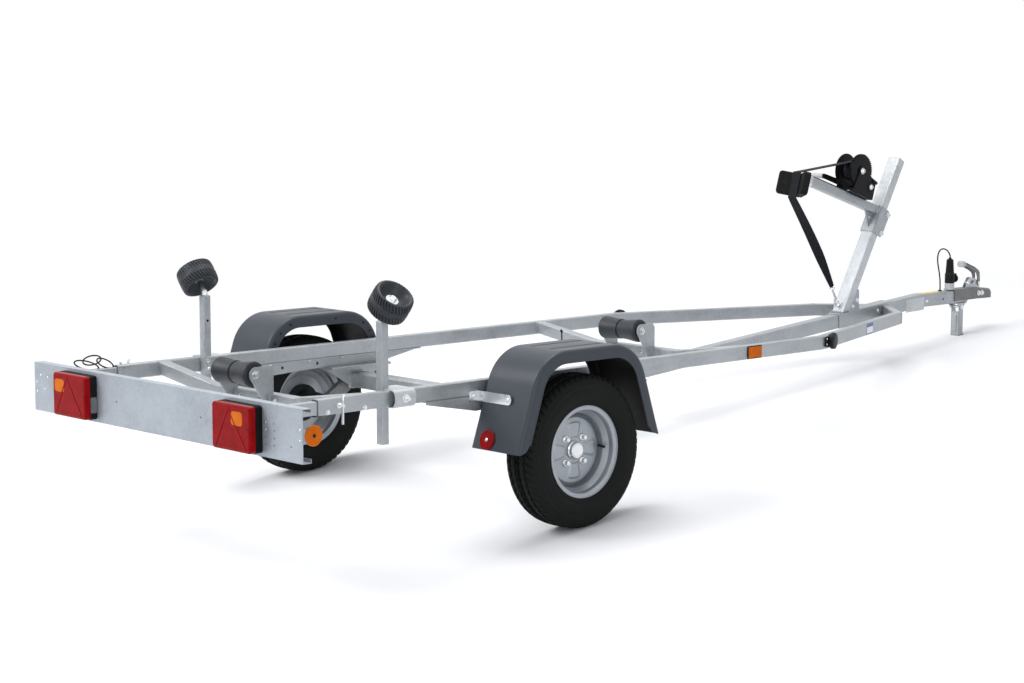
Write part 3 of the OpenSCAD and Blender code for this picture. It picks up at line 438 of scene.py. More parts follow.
def woven(name, colour):
    """Flat webbing: a twill of fine ribs with darker gaps between the threads."""
    look = Look(name, roughness=0.72, Specular_IOR_Level=0.2)
    warp = look.wave(190, "Y")
    weft = look.wave(160, "DIAGONAL", (1, 2.2, 1))
    cloud = look.noise(14, 3)
    look.set(Base_Color=look.ramp(look.sum(warp, 0.3, weft, 0.3, cloud, 0.4), (0.2, shade(colour, 0.55)),
                                  (0.8, shade(colour, 1.35))))
    look.bump(look.sum(warp, 0.5, weft, 0.5), 0.6, 0.0007)
    return look.material


DULL = {"Specular_IOR_Level": 0.14}     # dark skins that hardly mirror the white surroundings
GALVANISED = galvanised("galvanised steel", (0.37, 0.395, 0.415))
PALE_ZINC = galvanised("pale zinc", (0.50, 0.525, 0.55), (0.34, 0.5), 0.55)
SHEET = galvanised("zinc sheet", (0.37, 0.405, 0.45), (0.45, 0.55), 0.4)
BRIGHT = painted("bright zinc plate", (0.72, 0.74, 0.76), (0.18, 0.32), 300, 0.08, 1.0, 0.08)
RIM_SILVER = painted("silver rim paint", (0.33, 0.355, 0.385), (0.3, 0.4), 900, 0.05, 0.55, 0.06, 6,
                     Coat_Weight=0.2)
CAST = painted("coupling, dull zinc", (0.17, 0.175, 0.172), (0.42, 0.6), 260, 0.3, 0.4, 0.2, 24)
HUB_DARK = painted("hub paint", (0.022, 0.023, 0.025), (0.35, 0.5), 240, 0.25, 0.1, 0.2, 20, **DULL)
BLACK_STEEL = painted("black coated steel", (0.008, 0.008, 0.009), (0.34, 0.48), 300, 0.15, 0.0, 0.2, **DULL)
FENDER = painted("anthracite plastic", (0.037, 0.0445, 0.057), (0.34, 0.44), 420, 0.18, 0.0, 0.08, 5,
                 Specular_IOR_Level=0.3)
TYRE = painted("tyre rubber", (0.006, 0.0065, 0.0065), (0.62, 0.78), 500, 0.3, 0.0, 0.3, 12, **DULL)
RUBBER = painted("roller rubber", (0.017, 0.021, 0.027), (0.4, 0.55), 380, 0.22, 0.0, 0.3, 14,
                 Specular_IOR_Level=0.4)
BLACK_PLASTIC = painted("black plastic", (0.008, 0.008, 0.009), (0.36, 0.48), 500, 0.15, 0.0, 0.2, **DULL)
GRIP = painted("grey plastic", (0.42, 0.43, 0.45), (0.4, 0.5), 400, 0.12, 0.0, 0.08)
WHITE_FILM = painted("white film", (0.72, 0.73, 0.76), (0.3, 0.4), 500, 0.04, 0.0, 0.04)
BLUE_FILM = painted("blue film", (0.03, 0.07, 0.28), (0.3, 0.4), 500, 0.04, 0.0, 0.08)
YELLOW_FILM = painted("yellow film", (0.80, 0.55, 0.03), (0.3, 0.4), 500, 0.04, 0.0, 0.06)
WEBBING = woven("dark webbing", (0.006, 0.007, 0.010))
RED = lens("red lens", (0.34, 0.001, 0.003), (0.12, 0.0005, 0.001))
AMBER = lens("amber lens", (0.72, 0.19, 0.003), (0.42, 0.07, 0.001))
CLEAR = lens("clear lens", (0.26, 0.27, 0.28), (0.08, 0.085, 0.09))


# ---- Camera ----
def camera():
    """The camera stands behind the right wheel, a little above the rails, and looks forward and left."""
    at = Vector((-6065, -7006, 1770))
    yaw, fall, lens_mm = radians(46.96), radians(6.9), 79.2
    look = Vector((cos(yaw) * cos(fall), sin(yaw) * cos(fall), -sin(fall)))
    right = look.cross(Vector((0, 0, 1))).normalized()
    up = right.cross(look)
    turn = Matrix((right, up, -look)).transposed().to_4x4()
    data = bpy.data.cameras.new("camera")
    data.lens = lens_mm
    data.clip_end = 200
    obj = show("camera", data)
    spot, facing, _ = (PARKED @ shift(*at) @ turn).decompose()
    obj.matrix_world = shift(*spot) @ facing.to_matrix().to_4x4()
    bpy.context.scene.camera = obj


camera()


# ---- Plug and its cable ----
CABLE_D = 0.007
CABLE_ROUTE = [
    (3588, -12, 794), (3588, -12, 802), (3586, -10, 812), (3581, -7, 822), (3573, -4, 831), (3562, 0, 838),
    (3550, 3, 841), (3538, 6, 840), (3526, 8, 834), (3517, 8, 825), (3511, 8, 813), (3508, 8, 799),
    (3508, 8, 783), (3511, 8, 765), (3516, 8, 746), (3522, 8, 726), (3527, 8, 706), (3531, 8, 686),
    (3533, 8, 666), (3534, 8, 646), (3534, 8, 630), (3534, 8, 622)]
PLUG_X, PLUG_Y, _ = CABLE_ROUTE[0]


def plug():
    """The plug stands in its holder, with a ribbed boot and a spring flap on its front side."""
    low, high = level_box("plug")
    z, top = low.z, high.z
    body = [(0, z), (20, z), (21.5, z + 2), (21.5, z + 28), (25, z + 30), (26, z + 33)]
    for i in range(6):
        rib = z + 36 + 6 * i
        body += [(26, rib), (24.6, rib + 1.5), (24.6, rib + 3.5), (26, rib + 5)]
    body += [(26, z + 73), (23, z + 77)]
    pitch = (top - 10 - z - 80) / 6
    for i in range(6):
        r, start = 22.4 - 0.75 * i, z + 80 + pitch * i
        body += [(r, start), (r, start + pitch * 0.62), (r - 2, start + pitch * 0.7)]
        body.append((r - 2.2, start + pitch * 0.95))
    body += [(17, top - 10), (12, top - 7), (8, top - 6), (7.5, top), (0, top)]
    piece = Piece()
    piece.add(lathe(body, 40), BLACK_PLASTIC, at=shift(PLUG_X, PLUG_Y, 0))
    flap = [(0, 0), (14, 0), (14, 12), (20, 14), (21.5, 17), (21.5, 22), (19, 25), (15, 26), (14, 24),
            (0, 24)]
    piece.add(lathe(flap, 36), BLACK_PLASTIC, at=aim((PLUG_X + 23, PLUG_Y, z + 50), (1, 0, 0)))
    hinge = Vector((PLUG_X + 40, PLUG_Y, z + 73))
    across = Vector((0, 14, 0))
    piece.add(rod(hinge - across, hinge + across, 3.2, 12), BLACK_PLASTIC)
    return piece.finish("plug_body", ["plug"], "black_plastic")


def cable(plug_body):
    """The cable leaves the drawbar through a grommet and loops over into the plug's boot."""
    points = [PARKED @ Vector(p) for p in reversed(CABLE_ROUTE)]
    data = bpy.data.curves.new("plug_lead", "CURVE")
    data.dimensions = "3D"
    data.bevel_depth = CABLE_D / 2
    data.bevel_resolution = 3
    data.resolution_u = 6
    data.use_fill_caps = True
    spline = data.splines.new("BEZIER")
    spline.bezier_points.add(len(points) - 1)
    for knot, p in zip(spline.bezier_points, points):
        knot.co = p
        knot.handle_left_type = knot.handle_right_type = "AUTO"
    data.materials.append(BLACK_PLASTIC)
    obj = show("plug_lead", data)
    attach(obj, "chassis")
    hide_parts("plug_cable")
    piece = Piece()
    grommet = [(3.9, 0), (12, 0), (12.5, 1.5), (9, 3), (6.5, 6), (3.9, 6.5)]
    piece.add(lathe(grommet, 24), BLACK_PLASTIC, at=shift(*CABLE_ROUTE[-1]))
    piece.finish("lead_grommet", (), "black_plastic")


cable(plug())


# ---- Frame: rails, cross-members, drawbar and saddle ----
RAIL_LOW, RAIL_HIGH = level_box("rail_left")
RAIL_TOP, RAIL_UNDER = RAIL_HIGH.z, RAIL_LOW.z
RAIL_OUT, RAIL_REAR = RAIL_HIGH.y, RAIL_LOW.x
RAIL_W, RAIL_H, RAIL_WALL = 40, RAIL_TOP - RAIL_UNDER, 3
RAIL_IN, RAIL_MID = RAIL_OUT - RAIL_W, RAIL_OUT - RAIL_W / 2
RAIL_Z = (RAIL_TOP + RAIL_UNDER) / 2
BEND_X = 1766
CORNER = Vector((2830, 283))
NOSE_TURN = radians(48)
SLANT = atan2(RAIL_OUT - CORNER.y, CORNER.x - BEND_X)
STICKER_X = 2360
RAIL_BOLTS = {-1: ((-1010, 560), (-1057, 538), (-884, 538)), 1: ((-948, 554), (-410, 548), (353, 546))}
MEMBER_HALF, MEMBER_H, MEMBER_DIP = 258, 54, 55
BAR_LOW, BAR_HIGH = level_box("drawbar")
BAR_TOP, BAR_HALF = BAR_HIGH.z, BAR_HIGH.y
KINK_X, BAR_FALL, BAR_H = 3330, 0.085, 68


def bar_z(x):
    """Height of the drawbar's top."""
    return BAR_TOP - max(0, KINK_X - x) * BAR_FALL


def bead(points, radius=3.2, seed=1):
    """A weld bead: a rippled bar laid into the corner between two pieces."""
    dice = Random(seed)
    points = [Vector(p) for p in points]
    line, radii = [], []
    for a, b in zip(points, points[1:]):
        count = max(3, int((b - a).length / 3.5))
        for i in range(count):
            line.append(a.lerp(b, i / count))
            radii.append(radius * (0.86 + 0.22 * (i % 2) + dice.uniform(-0.05, 0.05)))
    return tube(line + points[-1:], radii + [radius * 0.7], 7)


def rail(name, side):
    """A rounded box tube with an open rear end, a shallow bend and a mitred end against the saddle."""
    butt_x, butt_y = CORNER.x + (CORNER.y - RAIL_LOW.y) / tan(NOSE_TURN), RAIL_LOW.y
    half = (SLANT + NOSE_TURN) / 2
    corner_in = CORNER - Vector((sin(half), cos(half))) * RAIL_W / cos((NOSE_TURN - SLANT) / 2)
    stations = [((RAIL_REAR, RAIL_OUT), (RAIL_REAR, RAIL_IN)),
                ((BEND_X, RAIL_OUT), (BEND_X - RAIL_W * tan(SLANT / 2), RAIL_IN)),
                (CORNER, corner_in), ((butt_x, butt_y), (butt_x - RAIL_W / sin(NOSE_TURN), butt_y))]
    deep = ((RAIL_REAR + 260, RAIL_OUT), (RAIL_REAR + 260, RAIL_IN))

    def section(station, inset, round_r):
        outer, inner = Vector(station[0]), Vector(station[1])
        width = (outer - inner).length
        points = rounded(width - 2 * inset, RAIL_H - 2 * inset, round_r)
        return [(*inner.lerp(outer, 0.5 + u / width), RAIL_Z + v) for u, v in points]

    bore = [section(deep, RAIL_WALL, 3), section(stations[0], RAIL_WALL, 3)]
    piece = Piece()
    piece.add(loft(bore + [section(s, 0, 6) for s in stations]), GALVANISED, at=on(side))
    for x, z in RAIL_BOLTS[side]:
        piece.bolt((x, RAIL_OUT, z), (0, 1, 0), 8, side=side)
    # mitre welds
    for (ax, ay), (bx, by) in stations[2:]:
        upright = [(ax - 1, ay, RAIL_UNDER + 6), (ax - 1, ay, RAIL_TOP - 5)]
        piece.add(bead(upright, 2.4, 3), GALVANISED, at=on(side))
        piece.add(bead([(ax, ay, RAIL_TOP - 1), (bx, by, RAIL_TOP)], 2.2, 4), GALVANISED, at=on(side))
    if side < 0:
        # a blank sticker, white on blue
        y = RAIL_OUT - (STICKER_X - BEND_X) * tan(SLANT)
        turn = on(side) @ shift(STICKER_X, y + 0.1, RAIL_Z) @ Matrix.Rotation(-SLANT, 4, "Z")
        piece.add(box((-48, 0, -25), (48, 0.5, 25)), BLUE_FILM, at=turn)
        piece.add(box((-44, 0.4, -21), (44, 0.8, 8)), WHITE_FILM, at=turn)
    else:
        piece.add(tube([(-1075, RAIL_MID, RAIL_TOP + 1), (-1075, RAIL_MID, RAIL_TOP + 10)], 5), BRIGHT)
    piece.finish(name, [name], "galvanised")


def member(node, seed):
    """A cross-member dips from rail to rail, with welded ends."""
    low, high = level_box(node)
    half, top, foot = MEMBER_HALF, high.z - MEMBER_DIP, high.z - MEMBER_H
    outline = [(high.y, high.z), (half, top), (-half, top), (-high.y, high.z), (-high.y, foot),
               (-half, top - MEMBER_H), (half, top - MEMBER_H), (high.y, foot)]
    piece = Piece()
    piece.add(prism(outline, low.x, high.x, "YZ"), GALVANISED, 5, steps=3, limit=8)
    for side in (-1, 1):
        end = side * (high.y - 1)
        for x in (low.x, high.x):
            piece.add(bead([(x, end, foot + 3), (x, end, high.z - 4)], 3.4, seed + side), GALVANISED)
        piece.add(bead([(low.x + 2, end, foot), (high.x - 2, end, foot)], 3.4, seed), GALVANISED)
    if node == "rear_crossmember":
        piece.bolt((low.x, -151, 505), (-1, 0, 0), 9)
    else:
        # a tie holds the lamp cable to the cross-member
        y = 457
        rise = (y - half) * MEMBER_DIP / (RAIL_IN - half)
        at = shift((low.x + high.x) / 2, y, top - MEMBER_H / 2 - 4 + rise)
        band = [(-27, -29), (27, -29), (27, 29), (-27, 29)]
        inside = [(u * 0.965, v * 0.965) for u, v in band]
        piece.add(prism(band, -3, 3, "XZ", [inside]), BLACK_PLASTIC, 1, at)
        piece.add(box((-32, -4, 22), (-25, 4, 34)), BLACK_PLASTIC, 1, at)
    piece.finish(node, [node], "galvanised")


def drawbar():
    """The drawbar runs under the front cross-member to the coupling, with a blank plate and yellow film."""
    piece = Piece()
    x0, x1 = BAR_LOW.x, BAR_HIGH.x
    rings = []
    for x, inset, r in ((x0 + 250, 6, 3), (x0, 6, 3), (x0, 0, 7), (KINK_X, 0, 7), (x1, 0, 7)):
        outline = rounded(2 * BAR_HALF - inset, BAR_H - inset, r)
        rings.append([(x, u, bar_z(x) - BAR_H / 2 + v) for u, v in outline])
    piece.add(loft(rings), GALVANISED)
    # spacer, strap and bolts under the front cross-member
    low, high = level_box("front_crossmember")
    x = (low.x + high.x) / 2
    top, under = bar_z(x), bar_z(x) - BAR_H
    piece.add(box((x - 25, -BAR_HALF, top - 3), (x + 25, BAR_HALF, low.z)), GALVANISED, 1.5)
    for y in (-BAR_HALF - 8, BAR_HALF + 8):
        piece.add(rod((x, y, under - 12), (x, y, low.z + 1), 5, 12), BRIGHT)
        piece.bolt((x, y, under - 6), (0, 0, -1), 9)
    piece.add(box((x - 20, -BAR_HALF - 22, under - 6), (x + 20, BAR_HALF + 22, under)), GALVANISED, 1.5)
    plate = [(3197, 536), (3347, 541), (3347, 606), (3197, 601)]
    piece.add(prism(plate, -BAR_HALF - 0.9, -BAR_HALF + 0.2), PALE_ZINC, 0.3)
    for x, z in ((3204, 543), (3340, 547), (3340, 600), (3204, 594)):
        rivet = lathe([(0, 0), (2.6, 0), (2.2, 1.1), (0, 1.5)], 14)
        piece.add(rivet, BRIGHT, at=aim((x, -BAR_HALF - 0.8, z), (0, -1, 0)))
    piece.bolt((3369, -BAR_HALF, 583), (0, -1, 0), 7)
    piece.add(rod((3511, -BAR_HALF - 0.4, 584), (3511, -BAR_HALF + 2, 584), 5.5, 20, 0.2), BLACK_PLASTIC)
    film = [(x, bar_z(x) + 0.5) for x in (3352, 3420, 3500)]
    outline = film + [(x, z - 0.6) for x, z in reversed(film)]
    piece.add(prism(outline, -BAR_HALF + 9, BAR_HALF - 9), YELLOW_FILM)
    piece.finish("drawbar_tube", ["drawbar"], "galvanised")


def saddle():
    """A folded plate over the drawbar; gussets reach from its sides to the rails' ends."""
    low, high = level_box("drawbar_saddle")
    piece = Piece()
    rear, front = bar_z(low.x), bar_z(high.x)
    sheet = [(low.x, rear + 3), (high.x, front + 3), (high.x, front - BAR_H + 12),
             (high.x - 14, front - BAR_H),
             (low.x, rear - BAR_H)]
    hole = circle(high.x - 30, front - 20, 5.5, 16)
    piece.pair(prism(sheet, BAR_HALF + 0.3, high.y, holes=[hole]), GALVANISED, 0.8)
    piece.bolts([(x, high.y, z) for x, z in ((3017, 577), (3014, 547), (2960, 565))], (0, 1, 0), 9)
    thick = high.y - BAR_HALF
    top = [(low.x, rear + 0.2), (high.x, front + 0.2), (high.x, front + thick), (low.x, rear + thick)]
    piece.add(prism(top, -high.y, high.y), GALVANISED, 2)
    piece.finish("saddle_plate", ["drawbar_saddle"], "galvanised")


for name, side in SIDES:
    rail(f"rail_{name}", side)
member("rear_crossmember", 20)
member("front_crossmember", 30)
drawbar()
saddle()


# ---- Axle ----
AXLE_LOW, AXLE_HIGH = level_box("axle_beam")
AXLE_X, AXLE_Z = (AXLE_LOW.x + AXLE_HIGH.x) / 2, (AXLE_LOW.z + AXLE_HIGH.z) / 2
WHEEL_Z = WHEEL_AT[2] / MM


def axle():
    """The axle's square tube."""
    end = AXLE_HIGH.y
    stations = [(end - 60, 58, 58, 8), (end, 58, 58, 8), (end, 70, 70, 12)]
    stations += [(-y, w, h, r) for y, w, h, r in reversed(stations)]
    piece = Piece()
    piece.add(bar("XZ", stations, AXLE_X, AXLE_Z), GALVANISED)
    piece.finish("axle_tube", ["axle_beam"], "galvanised")


def axle_brackets():
    """Long tapered brackets bolted under the rails carry the axle tube."""
    low, high = level_box("axle_brackets", 1)
    flange_z, hem_z, web_y = 481, 471, RAIL_OUT - 5
    rear_x, front_x = -20, AXLE_X + 150
    web = [(low.x, RAIL_UNDER - 4), (high.x, RAIL_UNDER - 4), (high.x, RAIL_UNDER - 10),
           (front_x + 2, flange_z), (front_x, hem_z), (AXLE_X + 46, low.z + 14), (AXLE_X + 46, 376),
           (AXLE_X - 46, 376),
           (AXLE_X - 46, low.z + 14), (rear_x, hem_z), (rear_x - 4, flange_z), (-337, RAIL_UNDER - 59),
           (low.x, RAIL_UNDER - 12)]
    holes = [rounded(70.6, 70.6, 12, 4, AXLE_X, AXLE_Z)]
    holes += [circle(x, z, 7, 16) for x, z in ((-250, 497), (-60, 500), (330, 512))]
    piece = Piece()
    piece.pair(prism(web, web_y, RAIL_OUT, holes=holes), GALVANISED, 0.8)
    piece.pair(box((low.x, RAIL_IN, RAIL_UNDER - 5), (high.x, RAIL_OUT - 1, RAIL_UNDER)), GALVANISED, 1.5)
    ledge = [(rear_x, flange_z), (front_x, flange_z), (front_x, flange_z - 12), (front_x - 30, flange_z - 5),
             (rear_x + 20, flange_z - 5), (rear_x, flange_z - 12)]
    piece.pair(prism(ledge, RAIL_OUT - 60, RAIL_OUT - 4), GALVANISED, 1.5)
    upper = [(x, RAIL_MID - 4, RAIL_UNDER - 5) for x in (low.x + 40, -330, -120, 60, 260, high.x - 40)]
    lower = [(AXLE_X + dx, RAIL_OUT - 32, flange_z - 5) for dx in (-70, 70)]
    piece.bolts(upper + lower, (0, 0, -1), 9)
    weld = [(u, web_y - 0.5, v) for u, v in rounded(74, 74, 13, 3, AXLE_X, AXLE_Z)]
    for side in (-1, 1):
        piece.add(bead(weld + weld[:1], 3.2, 50 + side), GALVANISED, at=on(side))
    piece.finish("axle_hangers", ["axle_brackets"], "galvanised")


def trailing_arms():
    """A cast arm joins each end of the axle tube to the wheel's stub shaft."""
    high = level_box("trailing_arms", 1)[1]
    reach = 53
    arm_out = RAIL_OUT + reach
    stub = high.y - arm_out
    boss = [(0, 0), (33, 0), (34, 2), (34, 40), (30, reach), (12, reach + 1), (0, reach + 1)]
    shaft = [(0, 0), (26, 0), (26, 3), (17, 6), (17, stub - 1), (16, stub), (0, stub)]
    outline = circle(AXLE_X, AXLE_Z, 33, 10, radians(-62), radians(150))
    outline += circle(0, WHEEL_Z, 36, 14, radians(95), radians(190))
    piece = Piece()
    piece.pair(lathe(boss, 40), CAST, at=aim((AXLE_X, RAIL_OUT - 0.5, AXLE_Z), (0, 1, 0)))
    piece.pair(prism(outline, arm_out - 30, arm_out), CAST, 4, steps=3)
    piece.pair(lathe(shaft, 32), CAST, at=aim((0, arm_out, WHEEL_Z), (0, 1, 0)))
    piece.finish("swing_arms", ["trailing_arms"], "cast_grey")


axle()
axle_brackets()
trailing_arms()


# ---- Wheels ----
RIM_LOW, RIM_HIGH = level_box("rim_left")
TYRE_LOW, TYRE_HIGH = level_box("tyre_left")
WHEEL_Y = (TYRE_LOW.y + TYRE_HIGH.y) / 2
TYRE_R = (TYRE_HIGH.z - TYRE_LOW.z) / 2
RIM_R = (RIM_HIGH.z - RIM_LOW.z) / 2
RIM_HALF = (RIM_HIGH.y - RIM_LOW.y) / 2
DISC = 4
GROOVE = 7
BOLT_CIRCLE_R = 65
TREAD_HALF = 61
TREAD_BLOCKS = 60
BLOCK_STEPS = 6


def on_wheel(side):
    """Wheel frame: the profile's height becomes the distance outwards from the wheel's middle plane."""
    return on(side) @ shift(0, WHEEL_Y, WHEEL_Z) @ Matrix.Rotation(-pi / 2, 4, "X")


def tyre_profile(angle):
    """The tyre's section at one angle: sidewall rings, tread ribs, and cuts across the ribs."""
    step = int(round(angle / (2 * pi) * TREAD_BLOCKS * BLOCK_STEPS)) % BLOCK_STEPS
    cut = 6.0 if step == 0 else 0.0
    sipe = 2.2 if step == 3 else 0.0
    half, bead_r = (TYRE_HIGH.y - TYRE_LOW.y) / 2, RIM_R - 12.9
    zigzag = 1.6 if step in (1, 2, 3) else -1.6
    twist = 2 * pi / TREAD_BLOCKS

    def crown(y):
        return TYRE_R - 0.2 - 5.5 * (abs(y) / TREAD_HALF) ** 3

    wall = [(bead_r, 52), (RIM_R + 0.6, 61), (RIM_R + 0.6, RIM_HALF + 1), (RIM_R + 9, half - 8),
            (RIM_R + 12, half - 5.5), (RIM_R + 14, half - 5.5), (RIM_R + 16, half - 6.5),
            (RIM_R + 30, half - 1.2),
            (RIM_R + 44, half - 0.2), (RIM_R + 56, half - 0.6), (RIM_R + 57, half), (RIM_R + 59, half),
            (RIM_R + 60, half - 0.9), (TYRE_R - 42, half - 2.4), (TYRE_R - 40, half - 1.6),
            (TYRE_R - 37, half - 1.8),
            (TYRE_R - 36, half - 3.2), (TYRE_R - 26, half - 6.5),
            (TYRE_R - 20 - cut * 0.3, half - 9, 0.1 * twist),
            (TYRE_R - 12 - cut * 0.7, TREAD_HALF + 6 - cut * 0.3, 0.16 * twist)]
    shoulder = [(crown(TREAD_HALF) - cut, TREAD_HALF - 2, 0.3 * twist),
                (crown(52) - cut, 52, 0.5 * twist), (crown(43) - cut - sipe, 43 + zigzag, 0.7 * twist)]
    groove = [(crown(41) - GROOVE, 41 + zigzag, 0.7 * twist),
              (crown(34) - GROOVE, 34 + zigzag, 0.75 * twist)]
    rib = [(crown(32) - sipe, 32 + zigzag, 0.8 * twist), (crown(24) - cut * 0.6, 24, 1.0 * twist),
           (crown(15) - sipe, 15 + zigzag, 1.2 * twist)]
    middle = [(crown(13) - GROOVE, 13 + zigzag, 1.2 * twist), (crown(7) - GROOVE, 7 + zigzag, 1.3 * twist),
              (crown(5) - sipe * 0.6, 5 + zigzag, 1.3 * twist)]
    outer = wall + shoulder + groove + rib + middle
    inner = [(r, -y, -t[0] if t else 0) for r, y, *t in reversed(outer)]
    outer = [(r, y, t[0] if t else 0) for r, y, *t in outer]
    return outer + inner + [(bead_r, -34), (bead_r, 34)]


def petals(r, angle):
    """Height of the disc's four embossed panels."""
    spread = abs((angle + pi / 4) % (pi / 2) - pi / 4)
    width = radians(25) - radians(7) * (r - 50) / 62
    across = min(1, max(0, (width - spread) * r / 9))
    along = min(1, max(0, (r - 48) / 7)) * min(1, max(0, (113 - r) / 8))
    height = across * along
    return 5.5 * height * height * (3 - 2 * height)


def rim_profile(angle):
    """The rim's section at one angle: flanges, stepped barrel and the embossed disc."""
    seat, wall, well, dish = RIM_R - 13.5, RIM_R - 20, RIM_R - 31.5, RIM_R - 60
    hw = RIM_HALF
    outer = [(RIM_R, hw - 1), (RIM_R, hw - 5), (RIM_R - 4, hw - 7), (seat, hw - 14), (seat - 3, 34),
             (well, 20),
             (well, -16), (seat - 2, -34), (seat, 14 - hw), (RIM_R, 5 - hw), (RIM_R, 1 - hw),
             (RIM_R - 2, -hw),
             (RIM_R - 5, -hw), (wall, 8 - hw), (wall - 1, -36), (well - 4, -18), (well - 4, DISC - 28),
             (dish, DISC - 6), (32, DISC - 6)]
    radii = (32, 40, 46, 50, 54, 60, 68, 76, 84, 92, 100, 106, 110, 114)
    face = [(r, DISC + petals(r, angle)) for r in radii]
    front = [(dish, DISC), (dish + 6, DISC - 1), (well - 10, DISC - 12), (well - 5, DISC - 18),
             (well - 4, DISC - 14),
             (well - 4, 14), (well - 3, 19), (wall - 4, 33), (wall - 1, 37), (wall - 1, 44), (wall, hw - 9),
             (wall + 3, hw - 5), (RIM_R - 5, hw - 2.5), (RIM_R - 4.5, hw), (RIM_R - 1.5, hw)]
    return outer + face + front


def wheel(name, side):
    """Tyre, pressed rim with its valve, and hub with cap and four bolts."""
    body = f"wheel_{name}"
    place = on_wheel(side)
    tyre = Piece()
    tyre.add(lathe(tyre_profile, TREAD_BLOCKS * BLOCK_STEPS), TYRE, at=place)
    tyre.finish(f"tyre_{name}_treaded", [f"tyre_{name}"], "tyre_rubber", body, 28)

    rim = Piece()
    rim.add(lathe(rim_profile, 144), RIM_SILVER, at=place)
    valve_r = RIM_R - 44
    turn = place @ Matrix.Rotation(radians(-1), 4, "Z")
    rim.add(rod((valve_r, 0, 2), (valve_r - 8, 0, 36), 4.2, 16), BLACK_PLASTIC, at=turn)
    rim.add(rod((valve_r - 7, 0, 33), (valve_r - 10, 0, 46), 4.8, 16), BLACK_PLASTIC, at=turn)
    rim.finish(f"rim_{name}_pressed", [f"rim_{name}"], "rim_silver", body, 28)

    hub = Piece()
    back = level_box("hub_left")[0].y - WHEEL_Y
    drum = [(17.2, back), (50, back), (52, back + 3), (52, back + 20), (56, back + 26), (56, DISC - 21),
            (82, DISC - 19), (82, DISC - 6.3), (33, DISC - 6.3), (32.5, DISC + 4), (31, DISC + 6),
            (17.2, DISC + 6)]
    hub.add(lathe(drum, 64), HUB_DARK, at=place)
    cap = [(0, 1), (36, 1), (37, 3), (37, 7), (34, 10), (33, 17), (30, 21), (26, 21.6), (24, 20.4), (0, 21)]
    hub.add(lathe(cap, 64), BRIGHT, at=place @ shift(0, 0, DISC))
    for i in range(4):
        seat = place @ Matrix.Rotation(radians(45 + 90 * i), 4, "Z") @ shift(BOLT_CIRCLE_R, 0, DISC + 0.3)
        collar = [(0, 0), (15, 0), (15.5, 1.2), (15, 2.4), (12.5, 5), (0, 5)]
        hub.add(lathe(collar, 28), BRIGHT, at=seat)
        hub.add(hexagon([(10.6, 5), (10.6, 15), (9.4, 17.5)], 0.3 + i), BRIGHT, at=seat)
        hub.add(lathe([(0, 17), (5.5, 17), (5, 18.2), (0, 18.6)], 16), BRIGHT, at=seat)
    hub.finish(f"hub_{name}_capped", [f"hub_{name}"], "cast_grey", body)


for name, side in SIDES:
    wheel(name, side)


# ---- Fenders ----
FENDER_LOW, FENDER_HIGH = level_box("fender_left")
FENDER_HALF = (FENDER_HIGH.x - FENDER_LOW.x) / 2
FENDER_LEAN = radians(18.4)
FENDER_R, FENDER_LIP, FENDER_T, FENDER_CORNER = 180, 50, 4, 42
ARC_X = (FENDER_HALF - (FENDER_HIGH.z - FENDER_LOW.z) * tan(FENDER_LEAN)
         - FENDER_R * tan(pi / 4 - FENDER_LEAN / 2))
ARC_Z = FENDER_HIGH.z - FENDER_R


def wall_x(z):
    """Place of the fender's sloping rear wall at a height."""
    return FENDER_HALF - (z - FENDER_LOW.z) * tan(FENDER_LEAN)


def fender_line(inset, foot):
    """The fender's side view moved in by a distance, its two feet cut at a height."""
    start = FENDER_HALF - inset / cos(FENDER_LEAN)
    arc = [(ARC_X + (FENDER_R - inset) * cos(a), ARC_Z + (FENDER_R - inset) * sin(a))
           for a in (FENDER_LEAN + (pi / 2 - FENDER_LEAN) * i / 18 for i in range(19))]
    foot_point = (start - (foot - FENDER_LOW.z) * tan(FENDER_LEAN), foot)
    wall = [tuple(Vector(foot_point).lerp(Vector(arc[0]), t)) for t in (0.0, 0.33, 0.66)]
    half = wall + arc
    top = [(ARC_X * t, FENDER_HIGH.z - inset) for t in (0.5, 0.0)]
    return half + top + [(-x, z) for x, z in reversed(half + top[:1])]


def fender_section(into=0.0):
    """Section across the fender, moved inwards: lip, rounded edge, crown with two grooves, edge and lip."""
    y0, y1 = FENDER_LOW.y + into, FENDER_HIGH.y - into
    corner = 16 - into
    edge = [(y0, FENDER_LIP, 0), (y0, 34, 0)]
    bend = [pi / 2 * i / 5 for i in range(6)]
    edge += [(y0 + corner - corner * cos(a), 16 - corner * sin(a), 0) for a in bend]
    for middle in (FENDER_LOW.y + 80, FENDER_HIGH.y - 80):
        edge += [(middle + u, into, d) for u, d in ((-11, 0), (-7, 3), (7, 3), (11, 0))]
    edge += [(y1 - corner + corner * sin(a), 16 - corner * cos(a), 0) for a in bend]
    return edge + [(y1, 34, 0), (y1, FENDER_LIP, 0)]


def fender_skin(outside, inside):
    """A skin between two sections; its lips end in rounded corners and its grooves fade off the crown."""
    columns = []
    for y, d, groove in fender_section(outside) + fender_section(inside)[::-1]:
        near_lip = max(0.0, d - (FENDER_LIP - FENDER_CORNER))
        lift = FENDER_CORNER - sqrt(max(0, FENDER_CORNER ** 2 - near_lip ** 2))
        foot = FENDER_LOW.z + (lift if d > 8 else 0)
        fade = [max(0.0, min(1.0, (ARC_X + 24 - abs(x)) / 24)) for x, _ in fender_line(d, foot)]
        columns.append([(x, y, z - groove * share) for (x, z), share in zip(fender_line(d, foot), fade)])
    return loft([[column[i] for column in columns] for i in range(len(columns[0]))], caps="strip")


